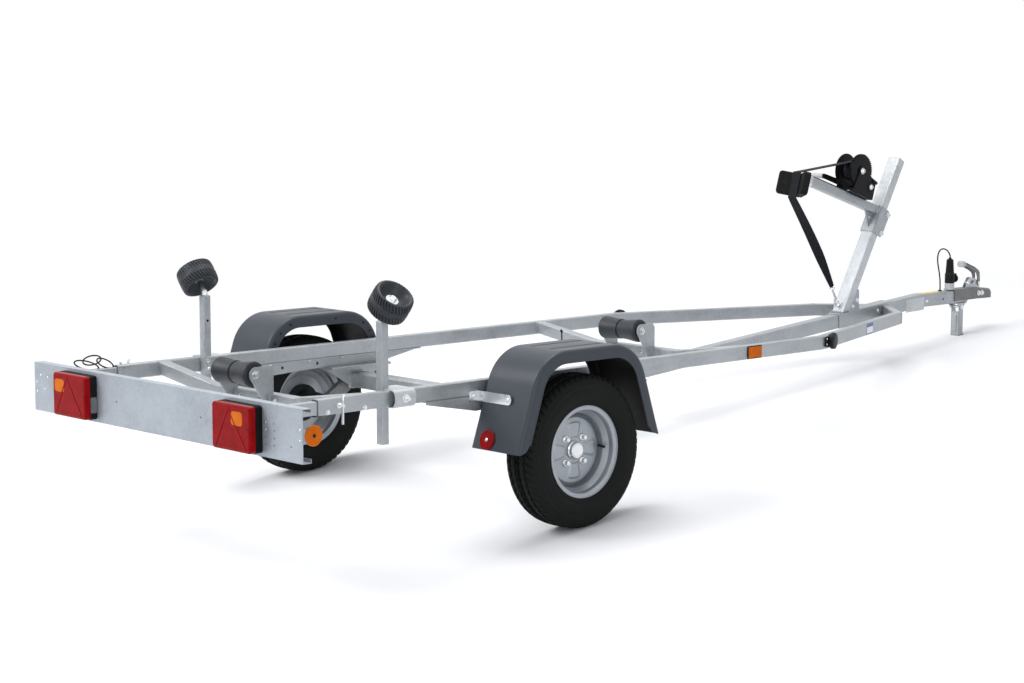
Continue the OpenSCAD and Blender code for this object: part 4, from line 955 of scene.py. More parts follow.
def fender(name, side):
    """A moulded shell lined inside with black as painted shade, with rolled lips and fixings on its inner wall."""
    piece = Piece()
    piece.add(fender_skin(0, FENDER_T), FENDER, at=on(side))
    # a thin black skin inside the shell: painted shade over its inner surface, not a part of its own
    piece.add(fender_skin(FENDER_T + 0.3, FENDER_T + 1.2), BLACK_PLASTIC, at=on(side))
    lip = fender_line(FENDER_LIP - 2, FENDER_LOW.z + FENDER_CORNER * 0.8)
    for y in (FENDER_LOW.y + 2, FENDER_HIGH.y - 2):
        piece.add(tube([(x, y, z) for x, z in lip], 3.4, 8), FENDER, at=on(side))
    line = fender_line(26, FENDER_LOW.z + 20)
    for i in (2, 4, 7, 12, 22, 30, 36, 41):
        piece.bolt((line[i][0], FENDER_LOW.y, line[i][1]), (0, -1, 0), 5, BLACK_PLASTIC, False, side)
    piece.finish(f"fender_{name}_shell", [f"fender_{name}"], "fender_plastic", sharp=40)


def stays():
    """Flat bars from a tab on each rail across the fender's walls."""
    low, high = level_box("fender_stays", 1)
    mid_z, tall, thick = (low.z + high.z) / 2, high.z - low.z, 5
    bar_x, hole_y = wall_x(low.z), high.y - 20
    outline = [(RAIL_OUT, mid_z + 20), (RAIL_OUT, mid_z - 20)] + circle(hole_y, mid_z, 20, 12, -pi / 2, pi)
    tab = rounded(46, tall, 8, 4, bar_x + 23, mid_z)
    piece = Piece()
    for end in (-1, 1):
        flip = Matrix.Scale(end, 4, (1, 0, 0))
        strip = prism(outline, bar_x + 0.3, bar_x + thick + 0.3, "YZ", [circle(hole_y, mid_z, 4.5, 14)])
        piece.pair(strip, BRIGHT, 0.8, flip)
        piece.pair(prism(tab, RAIL_OUT + 0.1, RAIL_OUT + thick), BRIGHT, 0.8, flip)
        piece.bolts([(end * (bar_x + 30), RAIL_OUT + thick, mid_z)], (0, 1, 0), 10, shank=4)
        piece.bolts([(end * (bar_x + thick + 0.3), hole_y, mid_z)], (end, 0, 0), 7)
    piece.finish("fender_stay_bars", ["fender_stays"], "bright_steel")


def red_reflectors():
    """A round red reflector with a centre screw on each fender's rear wall."""
    low, high = level_box("red_reflectors", 1)
    z = FENDER_LOW.z + 37
    at = aim((-wall_x(z) - 0.4, (low.y + high.y) / 2, z), (-cos(FENDER_LEAN), 0, sin(FENDER_LEAN)))
    piece = Piece()
    disc = [(0, 0), (37, 0), (38, 1.5), (38, 6), (36.5, 8), (32.5, 8.6), (32, 7.2), (0, 7.4)]
    piece.pair(lathe(disc, 48), RED, at=at)
    piece.pair(lathe([(0, 7), (6.5, 7), (7, 8.2), (5, 9), (0, 9.2)], 20), BRIGHT, at=at)
    piece.finish("rear_reflectors", ["red_reflectors"], "red_lens")


for name, side in SIDES:
    fender(name, side)
stays()
red_reflectors()


# ---- Light board ----
BOARD_LOW, BOARD_HIGH = level_box("light_board")
BOARD_Z = (BOARD_LOW.z + BOARD_HIGH.z) / 2
BOARD_HALF = BOARD_HIGH.y


def light_board():
    """A folded zinc sheet with returned edges, rivets, spare holes and end tabs for the side reflectors."""
    piece = Piece()
    low, high, thick = BOARD_LOW, BOARD_HIGH, 3
    back, fold = low.x + 0.5, low.x + 40
    sheet = rounded(2 * BOARD_HALF, high.z - low.z, 2, 2, 0, BOARD_Z)
    spots = [(-664, 479), (-664, 452), (-714, 531), (-714, 506), (-714, 479), (-714, 452)]
    spots += [(284, 502), (-271, 504), (-812, 460)]
    piece.add(prism(sheet, low.x, low.x + thick, "YZ", [circle(y, z, 3.6, 14) for y, z in spots]), SHEET)
    piece.add(box((low.x + thick + 0.1, 2 - BOARD_HALF, low.z + 3),
                  (low.x + thick + 0.6, BOARD_HALF - 2, high.z - 3)), CAST)
    for z, lip in ((low.z, 1), (high.z, -1)):
        flange = [(back, z), (fold, z), (fold, z + lip * 15), (fold - thick, z + lip * 15),
                  (fold - thick, z + lip * thick), (back, z + lip * thick)]
        piece.add(prism(flange, -BOARD_HALF, BOARD_HALF), SHEET, 0.8)
    half = [(low.x + 1, 30), (low.x + 36, 17), (high.x - 20, 16), (high.x - 14, 10)]
    tab = [(x, BOARD_Z - w) for x, w in half] + [(x, BOARD_Z + w) for x, w in reversed(half)]
    piece.pair(prism(tab, BOARD_HALF - thick, BOARD_HALF), SHEET, 0.8)
    for y, z in ((828, 552), (857, 521), (857, 483), (799, 497), (777, 546), (-862, 525), (-862, 488),
                 (-664, 531),
                 (-664, 506)):
        dome = [(0, 0), (4.2, 0), (3.9, 1.2), (2.6, 2.3), (0, 2.8)]
        piece.add(lathe(dome, 16), BRIGHT, at=aim((low.x, y, z), (-1, 0, 0)))
    piece.finish("light_board_sheet", ["light_board"], "galvanised")


def board_arms():
    """Tubes that slide into the rails' rear ends, with a row of holes drawn as black discs of painted shade, and a
    bolted foot at the board.
    """
    low, high = level_box("board_arms", 1)
    x0, y, z = low.x, (low.y + high.y) / 2, (low.z + high.z) / 2
    w, h = high.y - low.y, high.z - low.z
    piece = Piece()
    piece.pair(bar("YZ", [(x0 + 0.5, w, h, 4), (high.x, w, h, 4)], y, z), GALVANISED)
    piece.pair(box((x0, y - 45, z - 32), (x0 + 5, y + 45, z + 32)), GALVANISED, 1)
    piece.bolts([(x0 + 5, y - 33, z), (x0 + 5, y + 33, z)], (1, 0, 0), 8)
    # black discs on the arm's side: painted shade standing in for the holes
    for x in (x0 + 60, x0 + 110, x0 + 160):
        piece.pair(rod((x, high.y - 2, z), (x, high.y + 0.4, z), 5, 18, 0.2), BLACK_PLASTIC)
    # the spring clips' long black loops lean over the left arm
    for x, long, lean in ((-1290, 112, 0.25), (-1250, 84, -0.1), (-1185, 76, 0.35)):
        loop = []
        for c, s in circle(0, 0, 1, 30):
            along = long * (0.5 - 0.5 * c)
            loop.append((x + along, 650 + 7 * s, 612 + 17 * s - lean * along))
        piece.add(tube(loop + loop[:1], 3, 8), BLACK_PLASTIC)
    piece.finish("board_slide_arms", ["board_arms"], "galvanised")


def board_screws():
    """A threaded screw with a bent tommy bar clamps each arm in its rail."""
    low, high = level_box("board_screws", 1)
    x, y, z = (low.x + high.x) / 2, RAIL_OUT + 28, RAIL_TOP - 27
    at = aim((x, RAIL_OUT, z), (0, 1, 0))
    thread = [(0, 0)]
    for i in range(12):
        thread += [(6, 2.8 * i), (5.2, 2.8 * i + 1.4)]
    thread += [(6, 34), (0, 34)]
    handle = [(x, y, low.z), (x, y, z - 12), (x, y, z + 14), (x + 3, y, high.z - 8), (x + 6, y, high.z)]
    piece = Piece()
    piece.pair(lathe(thread, 20), BRIGHT, at=at)
    piece.pair(hexagon([(12, 0.2), (12, 9), (10.5, 10.4)]), BRIGHT, at=at)
    piece.pair(tube(handle, 4.6, 12), BRIGHT)
    piece.finish("arm_clamp_screws", ["board_screws"], "bright_steel")


def lamp_bodies():
    """The tail lamps' ribbed black housings."""
    low, high = level_box("lamp_housings", 1)
    y, z = (low.y + high.y) / 2, (low.z + high.z) / 2
    w, h = high.y - low.y, high.z - low.z
    piece = Piece()
    piece.pair(prism(rounded(w - 4, h - 4, 9, 4, y, z), low.x, high.x, "YZ"), BLACK_PLASTIC, 1.2)
    for i in range(4):
        x = low.x + 3 + 7.5 * i
        piece.pair(prism(rounded(w, h, 10, 4, y, z), x, x + 3, "YZ"), BLACK_PLASTIC, 0.8)
    piece.finish("lamp_bodies", ["lamp_housings"], "black_plastic")


def lens_block(low, high, round_r, proud=0.0):
    """A lens with a domed face, between two corners; proud moves its face out to the rear."""
    face = low.x - proud
    w, h = high.y - low.y, high.z - low.z
    stations = []
    for x, inset in ((high.x, 0), (face + 8, 0), (face + 3.5, 1.6), (face + 1, 4.2), (face, 8)):
        stations.append((x, w - 2 * inset, h - 2 * inset, max(3, round_r - inset)))
    return bar("YZ", stations, (low.y + high.y) / 2, (low.z + high.z) / 2, 5)


def lamp_lenses():
    """Red lenses with an amber outer corner, a raised triangle and a plate light on the left lamp."""
    low, high = level_box("lamp_lenses", 1)
    body_low, body_high = level_box("lamp_housings", 1)
    face, tall, wide = low.x, high.z - low.z, high.y - low.y
    middle_z = (low.z + high.z) / 2 + 10
    piece = Piece()
    for side, amber_edge, outer_y in ((-1, 0.50, -low.y), (1, 0.62, high.y)):
        piece.add(lens_block(low, high, 13), RED, at=on(side))
        amber_low = Vector((low.x, low.y + amber_edge * wide, high.z - 0.46 * tall))
        amber_high = Vector((high.x, low.y + (amber_edge + 0.33) * wide, high.z - 0.12 * tall))
        piece.add(lens_block(amber_low, amber_high, 17, 1.4), AMBER, at=on(side))
        corners = ((0.92, 0.06), (0.07, 0.06), (0.44, 0.95))
        outer = [Vector((outer_y - share * wide, low.z + up * tall)) for share, up in corners]
        centre = sum(outer, Vector((0, 0))) / 3
        inner = [p.lerp(centre, 0.13) for p in outer]
        piece.add(prism(outer, face - 1.6, face + 6, "YZ", [inner]), RED, 0.5)
        for y in (low.y + 10, high.y - 10):
            screw = lathe([(0, 0), (4, 0), (3.6, 1), (0, 1.2)], 16)
            piece.add(screw, BLACK_PLASTIC, at=on(side) @ aim((face + 0.2, y, middle_z - 4), (-1, 0, 0)))
    window = rounded(body_high.x - body_low.x - 4, 62, 4, 3, (body_low.x + body_high.x) / 2, middle_z - 38)
    piece.add(prism(window, body_low.y - 1.2, body_low.y + 4), CLEAR, 0.6)
    piece.finish("lamp_lens_sets", ["lamp_lenses"], "red_lens")


def side_reflectors():
    """Round amber reflectors on the board's ends and oblong ones on the rails."""
    low = level_box("amber_reflectors", 1)[0]
    oblong_x = 1285
    at = aim((low.x + 37, BOARD_HALF, BOARD_Z), (0, 1, 0))
    piece = Piece()
    disc = [(0, 0), (37, 0), (37, 5), (35.5, 6.5), (31.5, 7.5), (31, 6.4), (0, 6.6)]
    piece.pair(lathe(disc, 48), AMBER, at=at)
    piece.pair(lathe([(0, 6), (7, 6), (7, 7.2), (5, 8.6), (0, 9)], 20), BLACK_PLASTIC, at=at)
    piece.pair(prism(rounded(92, 56, 5, 4, oblong_x, RAIL_Z), RAIL_OUT, RAIL_OUT + 3), BLACK_PLASTIC, 0.8)
    piece.pair(prism(rounded(84, 48, 4, 4, oblong_x, RAIL_Z), RAIL_OUT + 2, RAIL_OUT + 7), AMBER, 1.4)
    piece.finish("side_reflectors", ["amber_reflectors"], "amber_lens")


def marker_lamps():
    """A round black marker lamp stands out from each rail on a small bracket ahead of the bend."""
    ahead = 52
    at = (shift(BEND_X + ahead, RAIL_OUT - ahead * tan(SLANT), RAIL_TOP - 26)
          @ Matrix.Rotation(-SLANT, 4, "Z")
          @ Matrix.Rotation(-pi / 2, 4, "X"))
    body = [(0, 0), (30, 0), (31, 2), (31, 8), (35, 10), (37, 12), (37, 24), (35.5, 27), (32, 28.5),
            (31, 27),
            (20, 29.4), (0, 30)]
    piece = Piece()
    piece.pair(lathe(body, 48), BLACK_PLASTIC, at=at)
    piece.pair(box((-62, -22, 0), (-18, 22, 7)), BLACK_PLASTIC, 2, at)
    for v in (-12, 12):
        piece.pair(lathe([(0, 0), (4.5, 0), (4, 2), (0, 3)], 16), BRIGHT, at=at @ shift(-50, v, 7))
    piece.finish("marker_lamp_pair", ["marker_lamps"], "black_plastic")


light_board()
board_arms()
board_screws()
lamp_bodies()
lamp_lenses()
side_reflectors()
marker_lamps()


# ---- Bilge rollers on their posts ----
NOTCHES = 38
BILGE_R, BILGE_HALF = 79, 47


def bilge_axis(name):
    """Middle and direction of a bilge roller's axis, in the level frame."""
    joint = JOINTS[f"bilge_roller_{name}_spin"]
    axis = (LEVEL.to_3x3() @ Vector(joint["axis"])).normalized()
    return LEVEL @ Vector(joint["pos_m"]), axis if axis.z > 0 else -axis


def posts():
    """Square posts with capped tops."""
    piece = Piece()
    for side in (-1, 1):
        low, high = level_box("roller_posts", side)
        x, y, w = (low.x + high.x) / 2, (low.y + high.y) / 2, high.x - low.x
        inside = w - 6
        tube_z = [(low.z + 120, inside, inside, 2), (low.z, inside, inside, 2), (low.z, w, w, 5),
                  (high.z, w, w, 5)]
        piece.add(bar("XY", tube_z, x, y), GALVANISED)
        if side > 0:
            edge, z = y - w / 2, high.z - 100
            piece.add(rod((x, edge + 2, z), (x, edge - 0.3, z), 5.5, 20, 0.2), BLACK_PLASTIC)
        cap = [(high.z, w - 2, w - 2, 5), (high.z + 2, w - 2, w - 2, 5), (high.z + 4.5, w - 7, w - 7, 5)]
        piece.add(bar("XY", cap, x, y), GALVANISED)
        weld = [(u, v, high.z + 0.6) for u, v in rounded(w - 1, w - 1, 5, 3, x, y)]
        piece.add(bead(weld, 1.8, 60 + side), GALVANISED)
    piece.finish("roller_post_tubes", ["roller_posts"], "galvanised")


def post_clamps():
    """Bulging plates that clamp the posts to the rails."""
    piece, thick = Piece(), 5
    for side in (-1, 1):
        low, high = level_box("post_clamps", side)
        inner, outer = sorted((abs(low.y), abs(high.y)))

        def half(d):
            top = [(inner, RAIL_TOP + thick - d), (RAIL_OUT + 4, RAIL_TOP + thick - d)]
            for a in (pi / 2 * i / 6 for i in range(1, 7)):
                out, drop = (outer - RAIL_OUT - 4 - d) * sin(a), 24 * (1 - cos(a))
                top.append((RAIL_OUT + 4 + out, RAIL_TOP + thick - d - drop))
            return top + [(y, RAIL_TOP + RAIL_UNDER - z) for y, z in reversed(top)]

        shell = prism(half(0) + half(thick)[::-1], low.x, high.x, "YZ")
        piece.add(shell, PALE_ZINC, 0.9, at=on(side))
        piece.bolt(((low.x + high.x) / 2, outer, RAIL_Z), (0, 1, 0), 14, side=side, shank=9)
        low, high = level_box("roller_posts", side)
        x, face = (low.x + high.x) / 2, abs(low.y + high.y) / 2 - (high.x - low.x) / 2
        for z in (RAIL_TOP - 12, RAIL_UNDER + 12):
            piece.bolt((x, face, z), (0, -1, 0), 9, side=side)
    piece.finish("post_clamp_plates", ["post_clamps"], "galvanised")


def stems():
    """Bent bars rise from the posts into the bilge rollers, with a nut and washers on the axis."""
    piece = Piece()
    for name, side in SIDES:
        low, high = level_box("roller_posts", side)
        x, y, top = (low.x + high.x) / 2, (low.y + high.y) / 2, high.z
        middle, axis = bilge_axis(name)
        elbow = middle - axis * (middle.y - y) / axis.y
        bend = [Vector((x, y, top + 2)), Vector((x, y, (top + elbow.z) / 2))]
        bend += [Vector((x, y, elbow.z - 4)).lerp(elbow + axis * 6, i / 4) for i in range(5)]
        piece.add(tube(bend + [middle - axis * 20], 12, 20), BRIGHT)
        piece.add(rod(middle - axis * 20, middle + axis * 14, 8.9, 20), BRIGHT)
        collar = [(9, 0), (17, 0), (18, 1), (18, 4), (17, 5), (9, 5)]
        piece.add(lathe(collar, 32), BRIGHT, at=aim(middle - axis * 17.4, axis))
        end = aim(middle + axis * 12.4, axis)
        piece.add(lathe([(9, 0), (25, 0), (26, 1), (26, 3), (25, 3.8), (9, 3.8)], 40), BRIGHT, at=end)
        piece.add(hexagon([(14.5, 3.8), (14.5, 13), (12.6, 15)], 0.2), BRIGHT, at=end)
    piece.finish("roller_stem_bars", ["roller_stems"], "bright_steel")


def bilge_profile(angle):
    """Section of a bilge roller: dished ends and slanting notches cut in from both edges."""
    r, half = BILGE_R, BILGE_HALF
    step = int(round(angle / (2 * pi) * NOTCHES * 5)) % 5
    cut = 5.5 if step in (0, 1) else 0.0
    twist = 2 * pi / NOTCHES
    crown = [(r - 13, half - 0.4, 0), (r - 8, half - 1.2 - cut * 0.2, 0),
             (r - 4 - cut * 0.8, half - 4, 0.1 * twist),
             (r - 2.2 - cut, half - 10, 0.3 * twist), (r - 0.9 - cut, half - 20, 0.7 * twist),
             (r - 0.3 - cut * 0.6, 13, 1.0 * twist), (r, 10, 1.1 * twist)]
    lower = [(a, -h, -t) for a, h, t in reversed(crown)]
    bowl = [(9.1, 12), (27, 12), (32, 13), (44, 22), (54, 35), (57, 40), (r - 16, half - 1.5)]
    return bowl + crown + lower + [(a, -h) for a, h in reversed(bowl)]


def bilge_roller(name):
    middle, axis = bilge_axis(name)
    node = f"bilge_roller_{name}"
    piece = Piece()
    piece.add(lathe(bilge_profile, NOTCHES * 5), RUBBER, at=aim(middle, axis))
    for end in (-1, 1):
        bush = [(9.2, 10.5), (16, 10.5), (16, 12.3), (9.2, 12.3)]
        piece.add(lathe(bush, 28), BLACK_PLASTIC, at=aim(middle, axis * end))
    piece.finish(f"{node}_ribbed", [node], "roller_rubber", node, 26)


posts()
post_clamps()
stems()
for name, side in SIDES:
    bilge_roller(name)


# ---- Keel rollers ----
def keel_axis(place):
    return LEVEL @ Vector(JOINTS[f"keel_roller_{place}_spin"]["pos_m"])


def keel_roller(place):
    """A black roller with a shallow waist, a groove by its middle and a flange at one end."""
    node = f"keel_roller_{place}"
    low, high = level_box(node)
    r, half, waist = (high.z - low.z) / 2, high.y, 8
    end = [(8.1, half), (r - 9, half), (r - 7, half - 1), (r - 4, half - 1)]
    profile = [(x, -y) for x, y in end] + [(r - 0.6, -half + 4), (r, -half + 8)]
    for i in range(1, 10):
        profile.append((r - waist * sin(pi / 18 * i) ** 1.3, -half + 8 + (half - 14) * i / 9))
    core = r - waist
    profile += [(core, -5), (core - 3.5, -3.5), (core - 3.5, 3.5), (core + 1.5, 5), (core + 2, 9)]
    for i in range(1, 10):
        profile.append((r - (waist - 2) * cos(pi / 18 * i) ** 1.3, 9 + (half - 17) * i / 9))
    profile += [(r, half - 6), (r - 0.6, half - 3)] + end[::-1]
    piece = Piece()
    piece.add(lathe(profile, 72), RUBBER, at=shift(*keel_axis(place)) @ Matrix.Rotation(-pi / 2, 4, "X"))
    piece.finish(f"{node}_turned", [node], "roller_rubber", node, 24)


def keel_brackets():
    """Folded brackets with rounded noses carry the keel rollers behind the cross-members."""
    piece = Piece()
    nose, thick = 30, 5
    for place in ("rear", "front"):
        x, _, z = keel_axis(place)
        low, high = level_box(f"{place}_crossmember")
        back, top, under = low.x, high.z - MEMBER_DIP, low.z
        inner = level_box(f"keel_roller_{place}")[1].y + 5
        outer = inner + thick
        outline = circle(x, z, nose, 14, pi / 2, radians(118))
        outline += [(back - 16, under + 4), (back, under + 4), (back, top), (back + 20, top),
                    (back + 20, z + nose - 16), (back + 6, z + nose)]
        piece.pair(prism(outline, inner, outer, holes=[circle(x, z, 8.2, 16)]), GALVANISED, 0.9)
        piece.bolts([(x, outer, z)], (0, 1, 0), 14, left_shank=7)
        piece.pair(bead([(back, outer, under + 6), (back, outer, top - 2)], 2.6, 70), GALVANISED)
        piece.add(rod((x, -outer - 4, z), (x, outer + 4, z), 8, 20), BRIGHT)
        piece.add(box((back - thick, -inner, under + 4), (back, inner, top - 2)), GALVANISED, 0.9)
        for y in (-60, 60):
            piece.bolt((back - thick, y, (under + top) / 2), (-1, 0, 0), 10)
    piece.finish("keel_bracket_plates", ["keel_brackets"], "galvanised")


for place in ("rear", "front"):
    keel_roller(place)
keel_brackets()


# ---- Winch post ----
WINCH_X, WINCH_LEAN, WINCH_L, POST_W, POST_D = 2676, radians(30), 870, 70, 50
GUSSET_X = 2808
FOOT_TOP = bar_z(WINCH_X) + 5
CLAMP_S, CLAMP_L = 455, 144
ARM_L, ARM_RISE, ARM_W = 572, radians(17.3), 45
ARM_Z = -ARM_W / 2
ON_POST = shift(WINCH_X, 0, FOOT_TOP) @ Matrix.Rotation(WINCH_LEAN, 4, "Y")
ARM_ROOT = ON_POST @ Vector((0, 0, CLAMP_S + CLAMP_L))
ARM_TIP = ARM_ROOT + Vector((-ARM_L * cos(ARM_RISE), 0, ARM_L * sin(ARM_RISE)))
ON_ARM = shift(*ARM_TIP) @ Matrix.Rotation(ARM_RISE, 4, "Y")
PAD_Z, PAD_TURN, PAD_THICK, PAD_L = -62, radians(38), 36, 128
GEAR_R, ROLL_R, FRAME_Y = 84, 50, 57
DRUM = Vector((341, 0, 116))
PINION = Vector((DRUM.x + GEAR_R + 3, 0, 58))
EYE_RISE = 44


def winch_post():
    """The leaning post with its welded foot, gussets and capped top."""
    piece = Piece()
    x, w = POST_D / 2, POST_W
    # the lower end is cut level, just inside the drawbar's top
    rings = [[(x + u, v, (x + u) * tan(WINCH_LEAN) - 1) for u, v in rounded(POST_D, w, 6)]]
    rings += [[(x + u, v, z) for u, v in rounded(POST_D - inset, w - inset, 6 - inset / 3)]
              for z, inset in ((WINCH_L - 2, 0), (WINCH_L, 3))]
    piece.add(loft(rings), PALE_ZINC, at=ON_POST)
    lid = [(WINCH_L + rise, POST_D - s, w - s, 4) for rise, s in ((0, 4), (3, 4), (4, 7))]
    piece.add(bar("XY", lid, x), GALVANISED, at=ON_POST)
    gusset = [(WINCH_X + 34, FOOT_TOP + 1), (GUSSET_X - 2, bar_z(GUSSET_X - 2) + 6),
              (GUSSET_X, FOOT_TOP + 104),
              (GUSSET_X - 8, FOOT_TOP + 112), (WINCH_X + 66, FOOT_TOP + 60)]
    piece.pair(prism(gusset, w / 2 - 5, w / 2 - 0.2), GALVANISED, 0.8)
    piece.bolts([(2760, w / 2 - 0.2, FOOT_TOP + 28), (2790, w / 2 - 0.2, FOOT_TOP + 58)], (0, 1, 0), 9)
    heel = WINCH_X - 3
    sole = [(heel, bar_z(heel) + 5.1), (GUSSET_X, bar_z(GUSSET_X) + 5.1), (GUSSET_X, bar_z(GUSSET_X) + 11),
            (heel, bar_z(heel) + 11)]
    piece.add(prism(sole, -w / 2, w / 2), GALVANISED, 1.2)
    piece.add(bead([(WINCH_X - 2, y, FOOT_TOP + 7) for y in (3 - w / 2, w / 2 - 3)], 3.4, 80), GALVANISED)
    piece.finish("winch_post_tube", ["winch_post"], "galvanised")


def winch_arm():
    """The arm's clamp wraps the post; two long bolts close it, and a drilled gusset stiffens the arm."""
    piece = Piece()
    z0, z1, w = CLAMP_S, CLAMP_S + CLAMP_L, POST_W / 2
    bolt_x, half = POST_D + 12, ARM_W / 2
    cheek = [(-5, z0), (POST_D + 14, z0), (POST_D + 24, z0 + 10), (POST_D + 24, z1 - 14),
             (POST_D + 10, z1), (-5, z1)]
    piece.pair(prism(cheek, w + 0.4, w + 5), GALVANISED, 0.9, ON_POST)
    piece.add(box((-5, -w - 5, z0), (-0.3, w + 5, z1)), GALVANISED, 1.4, ON_POST)
    for z in (z0 + 20, z1 - 20):
        seat = ON_POST @ Vector((bolt_x, 0, z))
        piece.bolts([(seat.x, w + 5, seat.z)], (0, 1, 0), 12, left_shank=6)
        piece.add(rod((bolt_x, -w - 8, z), (bolt_x, w + 8, z), 6, 16), BRIGHT, at=ON_POST)

    def sleeve(material, *stations):
        sections = [(s, ARM_W + grow, ARM_W + grow, r) for s, grow, r in stations]
        piece.add(bar("YZ", sections, 0, ARM_Z), material, at=ON_ARM)

    sleeve(GALVANISED, (60, -6, 2), (0, -6, 2), (0, 0, 7), (ARM_L - 14, 0, 7))
    sleeve(BRIGHT, (4, -7, 4), (-1.2, -7, 4), (-2.2, -9, 4))
    piece.add(box((-2.6, -13, ARM_Z - 3), (-1.9, 13, ARM_Z + 3)), BLACK_STEEL, at=ON_ARM)
    sleeve(BRIGHT, (1, 2, 8), (1, 5, 8), (24, 5, 8), (24, 0.4, 8))
    x, z = ARM_ROOT.x, ARM_ROOT.z
    web = [(x - 92, z - 18), (x - 34, z - 36), (x - 52, z - 122), (x - 62, z - 118)]
    piece.add(prism(web, -3, 3, holes=[circle(x - 60, z - 56, 8, 16)]), GALVANISED, 0.7)
    corners = ((-half, 4 - ARM_W), (-half, 0), (half, 0), (half, 4 - ARM_W))
    weld = [ON_ARM @ Vector((ARM_L - 12, y, z)) for y, z in corners]
    piece.add(bead(weld, 3.2, 90), GALVANISED)
    piece.finish("winch_arm_tube", ["winch_arm"], "galvanised")


def bow_stop():
    """Two moulded rubber blocks set in a V, bolted to a folded plate at the arm's end."""
    piece = Piece()
    place = ON_ARM @ shift(-4, 0, 0) @ Matrix.Rotation(PAD_TURN, 4, "Z")
    block = rounded(PAD_L, 112, 16, 6, PAD_L / 2, PAD_Z)
    piece.pair(prism(block, -PAD_THICK, -0.2, "YZ"), TYRE, 7, place, steps=3)
    piece.pair(box((-0.2, 2, PAD_Z - 38), (3.8, PAD_L - 26, PAD_Z + 38)), BLACK_STEEL, 1.2, place)
    for y in (PAD_L * 0.32, PAD_L * 0.72):
        washer = lathe([(0, 0), (10, 0), (10.5, 0.8), (8, 1.4), (0, 1.4)], 20)
        piece.pair(washer, BLACK_STEEL, at=place @ aim((0.2 - PAD_THICK, y, PAD_Z), (-1, 0, 0)))
        piece.pair(hexagon([(8, 3.8), (8, 9.5), (7, 11)]), BRIGHT, at=place @ aim((0, y, PAD_Z), (1, 0, 0)))
    piece.finish("bow_stop_blocks", ["bow_stop"], "roller_rubber")


def toothed(centre, r, teeth, depth):
    """A gear wheel's outline."""
    points = []
    for i in range(teeth):
        for share, drop in ((0.0, depth), (0.22, depth), (0.34, 0), (0.66, 0), (0.78, depth)):
            a = 2 * pi * (i + share) / teeth
            points.append((centre.x + (r - drop) * cos(a), centre.z + (r - drop) * sin(a)))
    return points


def winch_frame():
    """The winch's side plates, base, spacers and pawl."""
    piece = Piece()
    rear, front = DRUM.x - 44, PINION.x + 34
    plate = circle(DRUM.x, DRUM.z, 24, 12, radians(20), radians(190))
    plate += [(rear, 0), (front, 0), (front, PINION.z + 36)]
    holes = [circle(DRUM.x, DRUM.z, 10.4, 20), circle(PINION.x, PINION.z, 9.4, 18)]
    for y in (-FRAME_Y, FRAME_Y - 4):
        piece.add(prism(plate, y, y + 4, holes=holes), BLACK_STEEL, 0.9, ON_ARM)
    piece.add(box((rear, 3 - FRAME_Y, 0.2), (front, FRAME_Y - 3, 4.2)), BLACK_STEEL, 0.8, ON_ARM)
    piece.add(box((24, -16, 0.2), (rear + 4, 16, 4.2)), BLACK_STEEL, 0.8, ON_ARM)
    for along in (DRUM.x - 20, DRUM.x + 50):
        piece.add(rod((along, -10, 4), (along, -10, 12), 8, 6, 1), BRIGHT, at=ON_ARM)
    spacer_x = PINION.x + 18
    piece.add(rod((spacer_x, 3 - FRAME_Y, 20), (spacer_x, FRAME_Y - 3, 20), 6, 16), BLACK_STEEL, at=ON_ARM)
    for y in (-FRAME_Y, FRAME_Y):
        boss = lathe([(0, 0), (26, 0), (26, 1.2), (24, 2), (0, 2)], 36)
        piece.add(boss, BLACK_STEEL, at=ON_ARM @ aim((PINION.x, y, PINION.z), (0, y, 0)))
    for at, size, lift in ((DRUM, 13, 0), (PINION, 11, 2)):
        spot = ON_ARM @ at
        piece.bolt((spot.x, -FRAME_Y - lift, spot.z), (0, -1, 0), size)
        piece.bolt((spot.x, FRAME_Y + lift, spot.z), (0, 1, 0), size)
    pawl = circle(PINION.x + 10, PINION.z + 34, 8, 8, pi / 2, pi)
    pawl += [(PINION.x + 38, PINION.z + 22), (PINION.x + 40, PINION.z + 34)]
    piece.add(prism(pawl, -FRAME_Y - 6, -FRAME_Y - 1), BLACK_STEEL, 0.8, ON_ARM)
    piece.finish("winch_side_plates", ["winch_frame"], "black_steel")


def across_winch(at, y0, y1, r, sides):
    """A round bar across the winch."""
    return rod((at.x, y0, at.z), (at.x, y1, at.z), r, sides)


def winch_drum():
    """The toothed gear, the drum's flanges, its core and its shaft."""
    piece = Piece()
    hole = circle(DRUM.x, DRUM.z, 12, 20)
    gear = prism(toothed(DRUM, GEAR_R, 46, 6), 7 - FRAME_Y, 15 - FRAME_Y, holes=[hole])
    piece.add(gear, BLACK_STEEL, at=ON_ARM)
    flange = [(GEAR_R - 3, 0), (GEAR_R, 1.5), (GEAR_R, 3), (GEAR_R - 2, 4.5), (10, 4.5), (10, 0)]
    for y in (FRAME_Y - 11, 15.4 - FRAME_Y):
        piece.add(lathe(flange, 56), BLACK_STEEL, at=ON_ARM @ aim((DRUM.x, y, DRUM.z), (0, 1, 0)))
    piece.add(across_winch(DRUM, 7 - FRAME_Y, FRAME_Y - 7, 26, 32), BLACK_STEEL, at=ON_ARM)
    piece.add(across_winch(DRUM, -FRAME_Y - 9, FRAME_Y + 9, 9.8, 24), BRIGHT, at=ON_ARM)
    piece.finish("winch_gear_and_drum", ["winch_drum"], "black_steel")


